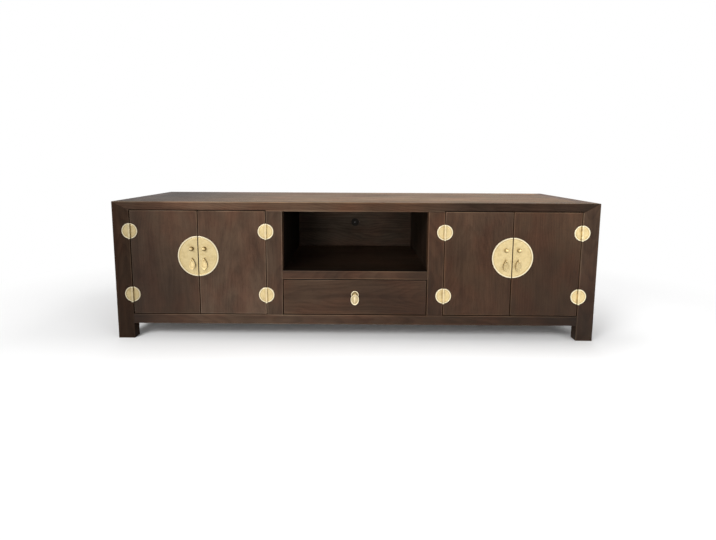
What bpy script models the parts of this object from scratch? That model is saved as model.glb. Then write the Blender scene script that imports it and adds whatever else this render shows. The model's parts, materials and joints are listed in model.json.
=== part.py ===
"""Long low television cabinet in dark stained wood with round brass fittings.

A mitred frame holds two pairs of flush doors and, between them, an open niche over one drawer.
Metres, +Z up. The front faces -Y. The origin is on the floor, in the middle of the whole box, which
runs from the tips of the lock studs to the back of the back posts.
"""

import math

import bmesh
import bpy
from mathutils import Matrix, Vector

OBJECT_NAME = "tv_cabinet"

# Overall size
WIDTH = 1.800
DEPTH = 0.450
HEIGHT = 0.524

# Fits
SEAT_GAP = 0.0003
DOOR_GAP = 0.003
STOP_GAP = 0.0005
RUN_GAP = 0.0005

# Frame
POST_WIDTH = 0.062
FRAME_DEPTH = 0.032
TOP_RAIL_HEIGHT = 0.0345
TOP_RAIL_WIDTH = 0.062
STILE_WIDTH = 0.059
BOTTOM_RAIL_HEIGHT = 0.0365
SIDE_RAIL_THICKNESS = 0.030
MIDDLE_RAIL_HEIGHT = 0.0315
LEG_CLEARANCE = 0.0585
NICHE_WIDTH = 0.542
NICHE_HEIGHT = 0.223
DOOR_REBATE = 0.0045
FRAME_ROUND = 0.002
TENON_LENGTH = 0.014
TENON_THICKNESS = 0.010
TENON_SHOULDER = 0.007
TENON_ROOT = 0.002

# Boards
TOP_PANEL_THICKNESS = 0.018
TONGUE_THICKNESS = 0.006
GROOVE_DEPTH = 0.008
BATTEN_WIDTH = 0.040
BATTEN_HEIGHT = 0.016
SIDE_PANEL_THICKNESS = 0.012
SIDE_PANEL_RECESS = 0.004
BACK_PANEL_THICKNESS = 0.010
BACK_PANEL_INSET = 0.010
BOTTOM_BOARD_THICKNESS = 0.015
STOP_HEIGHT = 0.009
PARTITION_THICKNESS = 0.015
SHELF_THICKNESS = 0.015
SHELF_HOUSING = 0.005
CABLE_HOLE_RADIUS = 0.019
CABLE_HOLE_ABOVE_FLOOR = 0.1155

# Doors and drawer
DOOR_THICKNESS = 0.022
FRONT_ROUND = 0.0025
DRAWER_FRONT_THICKNESS = 0.020
DRAWER_LENGTH = 0.380
DRAWER_SIDE_THICKNESS = 0.012
DRAWER_HEADROOM = 0.0205
DRAWER_LAP = 0.008
DRAWER_BOTTOM_THICKNESS = 0.006
DRAWER_BOTTOM_LIFT = 0.008
DRAWER_GROOVE = 0.005

# Hinges
HINGE_RADIUS = 0.029
HINGE_FROM_TOP = 0.077
HINGE_FROM_BOTTOM = 0.075
LEAF_THICKNESS = 0.002
BARREL_RADIUS = 0.004
BARREL_LIFT = 0.0002
BARREL_OVERHANG = 0.0005
BARREL_CLEARANCE = 0.0005
KNUCKLE_GAP = 0.0004
PIN_RADIUS = 0.0015
PIN_PLAY = 0.00025

# Lock plates, studs and pulls
PLATE_RADIUS = 0.076
PLATE_THICKNESS = 0.002
PLATE_EDGE_INSET = 0.0005
PLATE_FROM_TOP = 0.171
STUD_ACROSS = 0.0235
STUD_ABOVE = 0.028
STUD_REACH = 0.016
STUD_BASE_RADIUS = 0.0080
STUD_BASE_HEIGHT = 0.0024
STUD_NECK_RADIUS = 0.0048
STUD_HEAD_RADIUS = 0.0065
STAPLE_RADIUS = 0.0045
STAPLE_WIRE_RADIUS = 0.0014
STAPLE_STANDOFF = 0.0035
PULL_ACROSS = 0.0225
PULL_BELOW = 0.012
PULL_THICKNESS = 0.003
PULL_HOLE_RADIUS = 0.002
PULL_HEAD_RISE = 0.0018
DOOR_PULL_LENGTH = 0.0385
DOOR_PULL_WIDTH = 0.021
DOOR_PULL_HEAD_WIDTH = 0.0115
DOOR_PULL_BELLY_DROP = 0.0250
DOOR_PULL_TIP_WIDTH = 0.0105
DRAWER_PULL_LENGTH = 0.0390
DRAWER_PULL_WIDTH = 0.031
DRAWER_PULL_HEAD_WIDTH = 0.0225
DRAWER_PULL_BELLY_DROP = 0.0155
DRAWER_PULL_TIP_WIDTH = 0.0200
DRAWER_PULL_ABOVE_MIDDLE = 0.0105
DRAWER_PLATE_RADIUS = 0.0142

# How finely round shapes are divided
WELD = 0.00001
ROUND_SEGMENTS = 2
HINGE_SIDES = 32
BARREL_SIDES = 12
PLATE_SIDES = 48
SMALL_PLATE_SIDES = 24
STUD_SIDES = 12
STUD_DOME_DEGREES = (60, 30, 0, -30)
PULL_CURVE_STEPS = 4
STAPLE_STEPS = 10
HOLE_SIDES = 12
CABLE_HOLE_SIDES = 24
CUT_MARGIN = 0.005
WIRE_STEPS = 2
SHARP_ANGLE = math.radians(35)

# Places worked out from the sizes
HALF_WIDTH = WIDTH / 2
FRONT_Y = -(DEPTH - STUD_REACH) / 2
BACK_Y = FRONT_Y + DEPTH
POST_INNER_X = HALF_WIDTH - POST_WIDTH
NICHE_HALF = NICHE_WIDTH / 2
STILE_OUTER_X = NICHE_HALF + STILE_WIDTH
PAIR_X = (POST_INNER_X + STILE_OUTER_X) / 2
OPENING_BOTTOM_Z = LEG_CLEARANCE + BOTTOM_RAIL_HEIGHT
NICHE_TOP_Z = HEIGHT - TOP_RAIL_HEIGHT
NICHE_FLOOR_Z = NICHE_TOP_Z - NICHE_HEIGHT
DRAWER_TOP_Z = NICHE_FLOOR_Z - MIDDLE_RAIL_HEIGHT
DOOR_BOTTOM_Z = OPENING_BOTTOM_Z + DOOR_GAP
DOOR_TOP_Z = NICHE_TOP_Z + DOOR_REBATE - DOOR_GAP
BOARD_TOP_Z = OPENING_BOTTOM_Z + STOP_HEIGHT
PANEL_UNDER_Z = HEIGHT - TOP_PANEL_THICKNESS
BACK_FACE_Y = BACK_Y - BACK_PANEL_INSET - BACK_PANEL_THICKNESS
SIDE_PANEL_OUTER_X = HALF_WIDTH - SIDE_PANEL_RECESS
SIDE_PANEL_INNER_X = SIDE_PANEL_OUTER_X - SIDE_PANEL_THICKNESS
DRAWER_HALF = NICHE_HALF - DOOR_GAP
DRAWER_FLOOR_Z = BOARD_TOP_Z + RUN_GAP
BRASS_SEAT_Y = FRONT_Y - SEAT_GAP
BARREL_Y = BRASS_SEAT_Y - BARREL_RADIUS - BARREL_LIFT
PULL_AXIS_Y = BRASS_SEAT_Y - PLATE_THICKNESS - STAPLE_STANDOFF
PLATE_Z = DOOR_TOP_Z - PLATE_FROM_TOP
DRAWER_PULL_Z = (DOOR_BOTTOM_Z + DRAWER_TOP_Z - DOOR_GAP) / 2 + DRAWER_PULL_ABOVE_MIDDLE

LEFT, RIGHT = -1, 1
FRONT, BACK = -1, 1
SIDES = {"left": LEFT, "right": RIGHT}
ENDS = {"front": FRONT, "back": BACK}
AXES = "xyz"
FRONT_EDGES = ("x--", "x-+", "z--", "z+-")

# Finishes: linear colour, roughness, metallic
STAINED_WOOD = ((0.070, 0.042, 0.030, 1.0), 0.42, 0.0)
INNER_WOOD = ((0.085, 0.052, 0.036, 1.0), 0.60, 0.0)
PALE_BRASS = ((0.780, 0.610, 0.300, 1.0), 0.32, 1.0)


class Block:
    """An upright box, held as its lowest and highest corners."""

    def __init__(self, x, y, z):
        self.low = Vector((x[0], y[0], z[0]))
        self.high = Vector((x[1], y[1], z[1]))

    @property
    def centre(self):
        return (self.low + self.high) / 2

    @property
    def size(self):
        return self.high - self.low

    def grown(self, by):
        """The same box with every face moved out, as a mortise or a groove is round what it takes."""
        return Block(*((low - by, high + by) for low, high in zip(self.low, self.high)))


def span(first, second):
    """Two limits in rising order."""
    return min(first, second), max(first, second)


def sided(side, inner, outer):
    """The X limits of a piece on one side, from its distances to the middle."""
    return span(side * inner, side * outer)


def inward(end, near, far):
    """The Y limits of a piece, from its distances behind the front plane or ahead of the back plane."""
    if end == FRONT:
        return FRONT_Y + near, FRONT_Y + far
    return BACK_Y - far, BACK_Y - near


def tenon(block, axis, sign, thick):
    """The tenon on one end of a block, shouldered all round, with its root inside the block."""
    limits = []
    for index, name in enumerate(AXES):
        low, high = block.low[index], block.high[index]
        middle = (low + high) / 2
        if name == axis:
            face = high if sign > 0 else low
            limits.append(span(face - sign * TENON_ROOT, face + sign * TENON_LENGTH))
        elif name == thick:
            limits.append((middle - TENON_THICKNESS / 2, middle + TENON_THICKNESS / 2))
        else:
            limits.append((low + TENON_SHOULDER, high - TENON_SHOULDER))
    return Block(*limits)


def clear_scene():
    for leftover in list(bpy.data.objects):
        bpy.data.objects.remove(leftover)


def new_collection(name):
    collection = bpy.data.collections.new(name)
    bpy.context.scene.collection.children.link(collection)
    return collection


def finish_piece(piece, finish):
    """Gives a piece its own material."""
    colour, roughness, metallic = finish
    material = bpy.data.materials.new(piece.name)
    material.use_nodes = True
    shader = material.node_tree.nodes["Principled BSDF"]
    shader.inputs["Base Color"].default_value = colour
    shader.inputs["Roughness"].default_value = roughness
    shader.inputs["Metallic"].default_value = metallic
    piece.data.materials.clear()
    piece.data.materials.append(material)


def mesh_from(bm, name):
    mesh = bpy.data.meshes.new(name)
    bm.to_mesh(mesh)
    bm.free()
    return mesh


def edges_to_round(bm, corners):
    """Edges of a centred box, each named by its axis and the signs of its other two coordinates.

    The edge x-+ runs along X at low Y and high Z.
    """
    found = []
    for corner in corners:
        axis = AXES.index(corner[0])
        others = [index for index in range(3) if index != axis]
        signs = [1 if mark == "+" else -1 for mark in corner[1:]]
        for edge in bm.edges:
            middle = (edge.verts[0].co + edge.verts[1].co) / 2
            if all(middle[index] * sign > 0 for index, sign in zip(others, signs)) and not middle[axis]:
                found.append(edge)
    return found


def block_mesh(block, name, corners=(), radius=0.0):
    """A box about its own centre, with the named edges rounded."""
    bm = bmesh.new()
    bmesh.ops.create_cube(bm, size=1.0, matrix=Matrix.Diagonal((*block.size, 1.0)))
    if corners:
        edges = edges_to_round(bm, corners)
        bmesh.ops.bevel(bm, geom=edges, offset=radius, segments=ROUND_SEGMENTS, profile=0.5, affect="EDGES")
    return mesh_from(bm, name)


def slice_away(piece, point, normal):
    """Cuts off what lies beyond a plane, on the side that its normal points to, and closes the cut."""
    bm = bmesh.new()
    bm.from_mesh(piece.data)
    everything = bm.verts[:] + bm.edges[:] + bm.faces[:]
    place = Vector(point) - piece.location
    cut = bmesh.ops.bisect_plane(bm, geom=everything, plane_co=place, plane_no=normal, clear_outer=True)
    rim = [item for item in cut["geom_cut"] if isinstance(item, bmesh.types.BMEdge)]
    bmesh.ops.edgeloop_fill(bm, edges=rim)
    bmesh.ops.recalc_face_normals(bm, faces=bm.faces[:])
    bm.to_mesh(piece.data)
    bm.free()


def cylinder_mesh(radius, length, sides, axis, name):
    """A closed cylinder about the origin, along Y or Z."""
    bm = bmesh.new()
    turn = Matrix.Rotation(math.pi / 2, 4, "X") if axis == "y" else Matrix.Identity(4)
    bmesh.ops.create_cone(
        bm, cap_ends=True, segments=sides, radius1=radius, radius2=radius, depth=length, matrix=turn
    )
    return mesh_from(bm, name)


def settled_mesh(source):
    """A plain mesh, in place, of an object after its modifiers, or of a curve with its caps welded on."""
    bpy.context.view_layer.update()
    graph = bpy.context.evaluated_depsgraph_get()
    mesh = bpy.data.meshes.new_from_object(source.evaluated_get(graph))
    mesh.transform(source.matrix_world)
    bm = bmesh.new()
    bm.from_mesh(mesh)
    bmesh.ops.remove_doubles(bm, verts=bm.verts[:], dist=WELD)
    bmesh.ops.recalc_face_normals(bm, faces=bm.faces[:])
    bm.to_mesh(mesh)
    bm.free()
    return mesh


def shade_round(mesh):
    mesh.shade_smooth()
    mesh.set_sharp_from_angle(angle=SHARP_ANGLE)


class Cabinet:
    """Holds the collections and puts each finished piece in its place."""

    def __init__(self):
        clear_scene()
        self.parts = new_collection(OBJECT_NAME)
        self.cutters = new_collection(OBJECT_NAME + "_cutters")
        self.pieces = {}
        self.blocks = {}

    def board(self, name, block, finish, corners=(), radius=FRAME_ROUND):
        """A wooden piece that starts as a box."""
        piece = bpy.data.objects.new(name, block_mesh(block, name, corners, radius))
        piece.location = block.centre
        self.parts.objects.link(piece)
        finish_piece(piece, finish)
        self.pieces[name] = piece
        self.blocks[name] = block
        return piece

    def fitting(self, name, mesh, place, turned=False):
        """A brass piece, turned about Y where it faces the other way."""
        piece = bpy.data.objects.new(name, mesh.copy())
        piece.location = place
        if turned:
            piece.rotation_euler = (0.0, math.pi, 0.0)
        self.parts.objects.link(piece)
        shade_round(piece.data)
        finish_piece(piece, PALE_BRASS)
        self.pieces[name] = piece
        return piece

    def tool(self, name, mesh, place=(0.0, 0.0, 0.0)):
        """A hidden object that only cuts into or joins onto a piece."""
        tool = bpy.data.objects.new(name, mesh)
        tool.location = place
        tool.hide_render = True
        tool.display_type = "WIRE"
        self.cutters.objects.link(tool)
        return tool

    def work(self, piece, tool, operation):
        boolean = piece.modifiers.new(operation.lower(), "BOOLEAN")
        boolean.object = tool
        boolean.operation = operation
        boolean.solver = "EXACT"

    def block_tool(self, block, name):
        return self.tool(name, block_mesh(block, name), block.centre)

    def join(self, name, block):
        """Adds a tenon or a tongue to a piece."""
        self.work(self.pieces[name], self.block_tool(block, name + "_join"), "UNION")

    def cut(self, name, *blocks):
        """Cuts boxes out of a piece."""
        for block in blocks:
            self.work(self.pieces[name], self.block_tool(block, name + "_cut"), "DIFFERENCE")

    def seat(self, name, *guests):
        """Cuts a piece clear of what sits in it or against it."""
        self.cut(name, *(guest.grown(SEAT_GAP) for guest in guests))

    def fuse(self, base, added, bored=()):
        """One closed mesh from a base, what is added to it and what is bored out of it."""
        for tool in added:
            self.work(base, tool, "UNION")
        for tool in bored:
            self.work(base, tool, "DIFFERENCE")
        mesh = settled_mesh(base)
        for used in (base, *added, *bored):
            bpy.data.objects.remove(used)
        return mesh

    def carrier(self, name, place, members):
        """An empty on a joint's axis that its moving pieces hang on."""
        empty = bpy.data.objects.new(name, None)
        empty.location = place
        self.parts.objects.link(empty)
        for member in members:
            piece = self.pieces[member]
            piece.parent = empty
            piece.matrix_parent_inverse = Matrix.Translation(place).inverted()


def corner_planes(side, end):
    """The normals of the three mitre planes that meet at an upper corner of the frame.

    They lie between post and long rail, between post and side rail, and between the two rails.
    """
    across, deep = -side, -end
    long_rail = Vector((across * TOP_RAIL_HEIGHT, 0.0, POST_WIDTH)).normalized()
    side_rail = Vector((0.0, deep * TOP_RAIL_HEIGHT, FRAME_DEPTH)).normalized()
    between = Vector((-across, deep, 0.0)).normalized()
    return long_rail, side_rail, between


def build_mitred_frame(cabinet):
    """Posts and top rails, which meet in a three-way mitre at each corner."""
    top = (NICHE_TOP_Z, HEIGHT)
    for end_name, end in ENDS.items():
        face = "-" if end == FRONT else "+"
        rail = Block((-HALF_WIDTH, HALF_WIDTH), inward(end, 0.0, TOP_RAIL_WIDTH), top)
        cabinet.board(f"top_{end_name}_rail", rail, STAINED_WOOD, (f"x{face}+", f"x{face}-"))
    for side_name, side in SIDES.items():
        face = "-" if side == LEFT else "+"
        rail = Block(sided(side, HALF_WIDTH - TOP_RAIL_WIDTH, HALF_WIDTH), (FRONT_Y, BACK_Y), top)
        cabinet.board(f"top_{side_name}_rail", rail, STAINED_WOOD, (f"y{face}+", f"y{face}-"))
        for end_name, end in ENDS.items():
            post = Block(
                sided(side, POST_INNER_X, HALF_WIDTH), inward(end, 0.0, FRAME_DEPTH), (0.0, HEIGHT)
            )
            cabinet.board(f"{end_name}_{side_name}_post", post, STAINED_WOOD, (f"z{face}-", f"z{face}+"))
    for side_name, side in SIDES.items():
        for end_name, end in ENDS.items():
            mitre_corner(cabinet, side_name, side, end_name, end)


def mitre_corner(cabinet, side_name, side, end_name, end):
    post = cabinet.pieces[f"{end_name}_{side_name}_post"]
    long_rail = cabinet.pieces[f"top_{end_name}_rail"]
    side_rail = cabinet.pieces[f"top_{side_name}_rail"]
    corner = Vector((side * HALF_WIDTH, FRONT_Y if end == FRONT else BACK_Y, HEIGHT))
    to_long, to_side, between = corner_planes(side, end)
    for piece, normal, keeps_below in (
        (post, to_long, True),
        (long_rail, to_long, False),
        (post, to_side, True),
        (side_rail, to_side, False),
        (long_rail, between, True),
        (side_rail, between, False),
    ):
        outward = normal if keeps_below else -normal
        slice_away(piece, corner - outward * SEAT_GAP / 2, outward)


def build_lower_frame(cabinet):
    """Bottom rails, stiles and the rail under the niche."""
    low = (LEG_CLEARANCE, OPENING_BOTTOM_Z)
    reach = POST_INNER_X - SEAT_GAP
    for end_name, end in ENDS.items():
        face = "-" if end == FRONT else "+"
        rail = Block((-reach, reach), inward(end, 0.0, FRAME_DEPTH), low)
        cabinet.board(f"bottom_{end_name}_rail", rail, STAINED_WOOD, (f"x{face}-",))
    for side_name, side in SIDES.items():
        face = "-" if side == LEFT else "+"
        rail = Block(
            sided(side, HALF_WIDTH - SIDE_RAIL_THICKNESS, HALF_WIDTH),
            (FRONT_Y + FRAME_DEPTH + SEAT_GAP, BACK_Y - FRAME_DEPTH - SEAT_GAP),
            low,
        )
        cabinet.board(f"bottom_{side_name}_rail", rail, STAINED_WOOD, (f"y{face}-",))
        stile = Block(
            sided(side, NICHE_HALF, STILE_OUTER_X),
            inward(FRONT, 0.0, FRAME_DEPTH),
            (OPENING_BOTTOM_Z + SEAT_GAP, NICHE_TOP_Z - SEAT_GAP),
        )
        cabinet.board(f"{side_name}_stile", stile, STAINED_WOOD)
    middle = Block(
        (-NICHE_HALF + SEAT_GAP, NICHE_HALF - SEAT_GAP),
        inward(FRONT, 0.0, FRAME_DEPTH),
        (DRAWER_TOP_Z, NICHE_FLOOR_Z),
    )
    cabinet.board("middle_rail", middle, STAINED_WOOD)


def build_boards(cabinet):
    """Top panel with its battens, side and back panels, bottom board, partitions and niche shelf."""
    top_panel = Block(
        (-HALF_WIDTH + TOP_RAIL_WIDTH + SEAT_GAP, HALF_WIDTH - TOP_RAIL_WIDTH - SEAT_GAP),
        (FRONT_Y + TOP_RAIL_WIDTH + SEAT_GAP, BACK_Y - TOP_RAIL_WIDTH - SEAT_GAP),
        (PANEL_UNDER_Z, HEIGHT),
    )
    cabinet.board("top_panel", top_panel, STAINED_WOOD)
    back_panel = Block(
        (-POST_INNER_X - GROOVE_DEPTH, POST_INNER_X + GROOVE_DEPTH),
        (BACK_FACE_Y, BACK_FACE_Y + BACK_PANEL_THICKNESS),
        (OPENING_BOTTOM_Z - GROOVE_DEPTH, NICHE_TOP_Z + GROOVE_DEPTH),
    )
    cabinet.board("back_panel", back_panel, INNER_WOOD)
    board_reach = SIDE_PANEL_INNER_X - SEAT_GAP
    bottom_board = Block(
        (-board_reach, board_reach),
        (FRONT_Y + DOOR_THICKNESS + STOP_GAP, BACK_FACE_Y - SEAT_GAP),
        (BOARD_TOP_Z - BOTTOM_BOARD_THICKNESS, BOARD_TOP_Z),
    )
    cabinet.board("bottom_board", bottom_board, INNER_WOOD)
    inner_depth = (FRONT_Y + FRAME_DEPTH + SEAT_GAP, BACK_FACE_Y - SEAT_GAP)
    niche_shelf = Block(
        (-NICHE_HALF - SHELF_HOUSING, NICHE_HALF + SHELF_HOUSING),
        inner_depth,
        (NICHE_FLOOR_Z - SHELF_THICKNESS, NICHE_FLOOR_Z),
    )
    cabinet.board("niche_shelf", niche_shelf, STAINED_WOOD)
    for side_name, side in SIDES.items():
        side_panel = Block(
            sided(side, SIDE_PANEL_INNER_X, SIDE_PANEL_OUTER_X),
            (FRONT_Y + FRAME_DEPTH - GROOVE_DEPTH, BACK_Y - FRAME_DEPTH + GROOVE_DEPTH),
            (OPENING_BOTTOM_Z - GROOVE_DEPTH, NICHE_TOP_Z + GROOVE_DEPTH),
        )
        cabinet.board(f"{side_name}_side_panel", side_panel, STAINED_WOOD)
        partition = Block(
            sided(side, NICHE_HALF, NICHE_HALF + PARTITION_THICKNESS),
            inner_depth,
            (BOARD_TOP_Z + SEAT_GAP, PANEL_UNDER_Z - SEAT_GAP),
        )
        cabinet.board(f"{side_name}_partition", partition, INNER_WOOD)
        batten = Block(
            (side * PAIR_X - BATTEN_WIDTH / 2, side * PAIR_X + BATTEN_WIDTH / 2),
            (FRONT_Y + TOP_RAIL_WIDTH + SEAT_GAP, BACK_Y - TOP_RAIL_WIDTH - SEAT_GAP),
            (PANEL_UNDER_Z - SEAT_GAP - BATTEN_HEIGHT, PANEL_UNDER_Z - SEAT_GAP),
        )
        cabinet.board(f"{side_name}_top_batten", batten, INNER_WOOD)


def joint_carcass(cabinet):
    """Tenons, mortises, grooves and housings of the frame and its boards."""
    blocks = cabinet.blocks
    for end_name in ENDS:
        rail_name = f"bottom_{end_name}_rail"
        for side_name, side in SIDES.items():
            stub = tenon(blocks[rail_name], "x", side, "y")
            cabinet.join(rail_name, stub)
            cabinet.seat(f"{end_name}_{side_name}_post", stub)
    for side_name, side in SIDES.items():
        joint_one_side(cabinet, side_name, side)
    joint_top_panel(cabinet)
    back_panel = blocks["back_panel"]
    for name in ("back_left_post", "back_right_post", "top_back_rail", "bottom_back_rail"):
        cabinet.seat(name, back_panel)
    rails = [blocks[f"bottom_{name}_rail"] for name in (*ENDS, *SIDES)]
    posts = [blocks[f"{end}_{side}_post"] for end in ENDS for side in SIDES]
    stiles = [blocks[f"{side}_stile"] for side in SIDES]
    cabinet.seat("bottom_board", *rails, *posts, *stiles)
    hole = cylinder_mesh(
        CABLE_HOLE_RADIUS, BACK_PANEL_THICKNESS + 2 * CUT_MARGIN, CABLE_HOLE_SIDES, "y", "cable_hole"
    )
    hole_place = (0.0, back_panel.centre.y, NICHE_FLOOR_Z + CABLE_HOLE_ABOVE_FLOOR)
    cabinet.work(cabinet.pieces["back_panel"], cabinet.tool("cable_hole", hole, hole_place), "DIFFERENCE")


def joint_one_side(cabinet, side_name, side):
    blocks = cabinet.blocks
    rail_name = f"bottom_{side_name}_rail"
    for end_name, end in ENDS.items():
        stub = tenon(blocks[rail_name], "y", end, "x")
        cabinet.join(rail_name, stub)
        cabinet.seat(f"{end_name}_{side_name}_post", stub)
    stile_name = f"{side_name}_stile"
    for host, sign in (("top_front_rail", 1), ("bottom_front_rail", -1)):
        stub = tenon(blocks[stile_name], "z", sign, "y")
        cabinet.join(stile_name, stub)
        cabinet.seat(host, stub)
    stub = tenon(blocks["middle_rail"], "x", side, "y")
    cabinet.join("middle_rail", stub)
    cabinet.seat(stile_name, stub)
    batten_name = f"{side_name}_top_batten"
    for end_name, end in ENDS.items():
        stub = tenon(blocks[batten_name], "y", end, "z")
        cabinet.join(batten_name, stub)
        cabinet.seat(f"top_{end_name}_rail", stub)
    side_panel = blocks[f"{side_name}_side_panel"]
    for host in (f"front_{side_name}_post", f"back_{side_name}_post", f"top_{side_name}_rail", rail_name):
        cabinet.seat(host, side_panel)
    partition = f"{side_name}_partition"
    cabinet.seat(partition, blocks["top_front_rail"], blocks["top_back_rail"], blocks["niche_shelf"])
    rebate = Block(
        sided(side, STILE_OUTER_X, POST_INNER_X),
        inward(FRONT, -CUT_MARGIN, DOOR_THICKNESS + STOP_GAP),
        (NICHE_TOP_Z - CUT_MARGIN, NICHE_TOP_Z + DOOR_REBATE),
    )
    cabinet.cut("top_front_rail", rebate)


def joint_top_panel(cabinet):
    """A tongue all round the top panel, in grooves of the four rails."""
    panel = cabinet.blocks["top_panel"]
    middle_z = panel.centre.z
    tongue = Block(
        (panel.low.x - GROOVE_DEPTH, panel.high.x + GROOVE_DEPTH),
        (panel.low.y - GROOVE_DEPTH, panel.high.y + GROOVE_DEPTH),
        (middle_z - TONGUE_THICKNESS / 2, middle_z + TONGUE_THICKNESS / 2),
    )
    cabinet.join("top_panel", tongue)
    for name in (*ENDS, *SIDES):
        cabinet.seat(f"top_{name}_rail", tongue)


def build_drawer(cabinet):
    """Drawer front with lapped sides, a back, and a bottom in grooves."""
    front = Block(
        (-DRAWER_HALF, DRAWER_HALF),
        inward(FRONT, 0.0, DRAWER_FRONT_THICKNESS),
        (DOOR_BOTTOM_Z, DRAWER_TOP_Z - DOOR_GAP),
    )
    cabinet.board("drawer_front", front, STAINED_WOOD, FRONT_EDGES, FRONT_ROUND)
    side_top = DRAWER_TOP_Z - DRAWER_HEADROOM
    bottom_z = DRAWER_FLOOR_Z + DRAWER_BOTTOM_LIFT
    inner_half = DRAWER_HALF - DRAWER_SIDE_THICKNESS
    bottom = Block(
        (-inner_half - DRAWER_GROOVE, inner_half + DRAWER_GROOVE),
        inward(FRONT, DRAWER_FRONT_THICKNESS - DRAWER_GROOVE, DRAWER_LENGTH),
        (bottom_z, bottom_z + DRAWER_BOTTOM_THICKNESS),
    )
    cabinet.board("drawer_bottom", bottom, INNER_WOOD)
    back = Block(
        (-inner_half + SEAT_GAP, inner_half - SEAT_GAP),
        inward(FRONT, DRAWER_LENGTH - DRAWER_SIDE_THICKNESS, DRAWER_LENGTH),
        (bottom.high.z + SEAT_GAP, side_top),
    )
    cabinet.board("drawer_back", back, INNER_WOOD)
    cabinet.seat("drawer_front", bottom)
    for side_name, side in SIDES.items():
        name = f"drawer_{side_name}_side"
        board = Block(
            sided(side, inner_half, DRAWER_HALF),
            inward(FRONT, DRAWER_FRONT_THICKNESS - DRAWER_LAP, DRAWER_LENGTH),
            (DRAWER_FLOOR_Z, side_top),
        )
        cabinet.board(name, board, INNER_WOOD)
        cabinet.seat(name, bottom)
        cabinet.seat("drawer_front", board)


def half_plate(cabinet, name, radius, thickness, sides, side, edge):
    """Half of a round plate on one side of the line x = 0, cut straight at a distance from that line.

    Its back lies in the plane y = 0.
    """
    plate = cabinet.tool(name, cylinder_mesh(radius, thickness, sides, "y", name))
    plate.location = (0.0, -thickness / 2, 0.0)
    slice_away(plate, (side * edge, 0.0, 0.0), Vector((-side, 0.0, 0.0)))
    return plate


def hinge_meshes(cabinet):
    """The frame leaf with its two knuckles and the pin, and the door leaf with the knuckle between them.

    The barrel's axis is the Z axis. The frame leaf lies on the -X side, the door leaf on the +X side.
    """
    barrel_half = HINGE_RADIUS + BARREL_OVERHANG
    knuckle_half = barrel_half / 3
    outer_from = knuckle_half + KNUCKLE_GAP
    edge = BARREL_RADIUS + BARREL_CLEARANCE
    seat_y = BARREL_RADIUS + BARREL_LIFT
    inner_edge = BARREL_RADIUS / 3

    def leaf(side, name):
        plate = half_plate(cabinet, name, HINGE_RADIUS, LEAF_THICKNESS, HINGE_SIDES, side, inner_edge)
        plate.location.y += seat_y
        return plate

    def notch(side, low, high):
        """Room in a leaf's straight edge for a knuckle of the other leaf."""
        room = Block(
            span(-side * CUT_MARGIN, side * edge),
            (seat_y - LEAF_THICKNESS - CUT_MARGIN, seat_y + CUT_MARGIN),
            (low, high),
        )
        return cabinet.block_tool(room, "hinge_notch")

    def round_bar(radius, low, high, name):
        mesh = cylinder_mesh(radius, high - low, BARREL_SIDES, "z", name)
        return cabinet.tool(name, mesh, (0.0, 0.0, (low + high) / 2))

    frame_leaf = leaf(LEFT, "frame_leaf")
    cabinet.work(frame_leaf, notch(LEFT, -outer_from, outer_from), "DIFFERENCE")
    frame_bars = [
        round_bar(BARREL_RADIUS, outer_from, barrel_half, "upper_knuckle"),
        round_bar(BARREL_RADIUS, -barrel_half, -outer_from, "lower_knuckle"),
        round_bar(PIN_RADIUS, -outer_from - CUT_MARGIN, outer_from + CUT_MARGIN, "hinge_pin"),
    ]
    frame_mesh = cabinet.fuse(frame_leaf, frame_bars)
    door_leaf = leaf(RIGHT, "door_leaf")
    for sign in (LEFT, RIGHT):
        limits = span(sign * knuckle_half, sign * (barrel_half + CUT_MARGIN))
        cabinet.work(door_leaf, notch(RIGHT, *limits), "DIFFERENCE")
    knuckle = round_bar(BARREL_RADIUS, -knuckle_half, knuckle_half, "middle_knuckle")
    bore = round_bar(PIN_RADIUS + PIN_PLAY, -barrel_half, barrel_half, "hinge_bore")
    door_mesh = cabinet.fuse(door_leaf, [knuckle], [bore])
    return frame_mesh, door_mesh


def stud_outline(reach):
    """A lock stud's profile, from its tip down the outer side to its foot inside the plate."""
    head_z = reach - STUD_HEAD_RADIUS
    outline = [(0.0, reach)]
    for degrees in STUD_DOME_DEGREES:
        angle = math.radians(degrees)
        outline.append((STUD_HEAD_RADIUS * math.cos(angle), head_z + STUD_HEAD_RADIUS * math.sin(angle)))
    foot_z = -PLATE_THICKNESS / 2
    outline += [
        (STUD_NECK_RADIUS, head_z - STUD_HEAD_RADIUS),
        (STUD_NECK_RADIUS, STUD_BASE_HEIGHT),
        (STUD_BASE_RADIUS, STUD_BASE_HEIGHT / 2),
        (STUD_BASE_RADIUS, foot_z),
        (0.0, foot_z),
    ]
    return outline


def stud_tool(cabinet, x, z, from_y, reach):
    """A turned lock stud that points forward: flange, neck and domed head."""
    bm = bmesh.new()
    points = [bm.verts.new((radius, 0.0, height)) for radius, height in stud_outline(reach)]
    for first, second in zip(points, points[1:]):
        bm.edges.new((first, second))
    stud = cabinet.tool("lock_stud", mesh_from(bm, "lock_stud"), (x, from_y, z))
    stud.rotation_euler = (math.pi / 2, 0.0, 0.0)
    turning = stud.modifiers.new("turning", "SCREW")
    turning.steps = turning.render_steps = STUD_SIDES
    turning.use_merge_vertices = True
    turning.merge_threshold = WELD
    return stud


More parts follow.
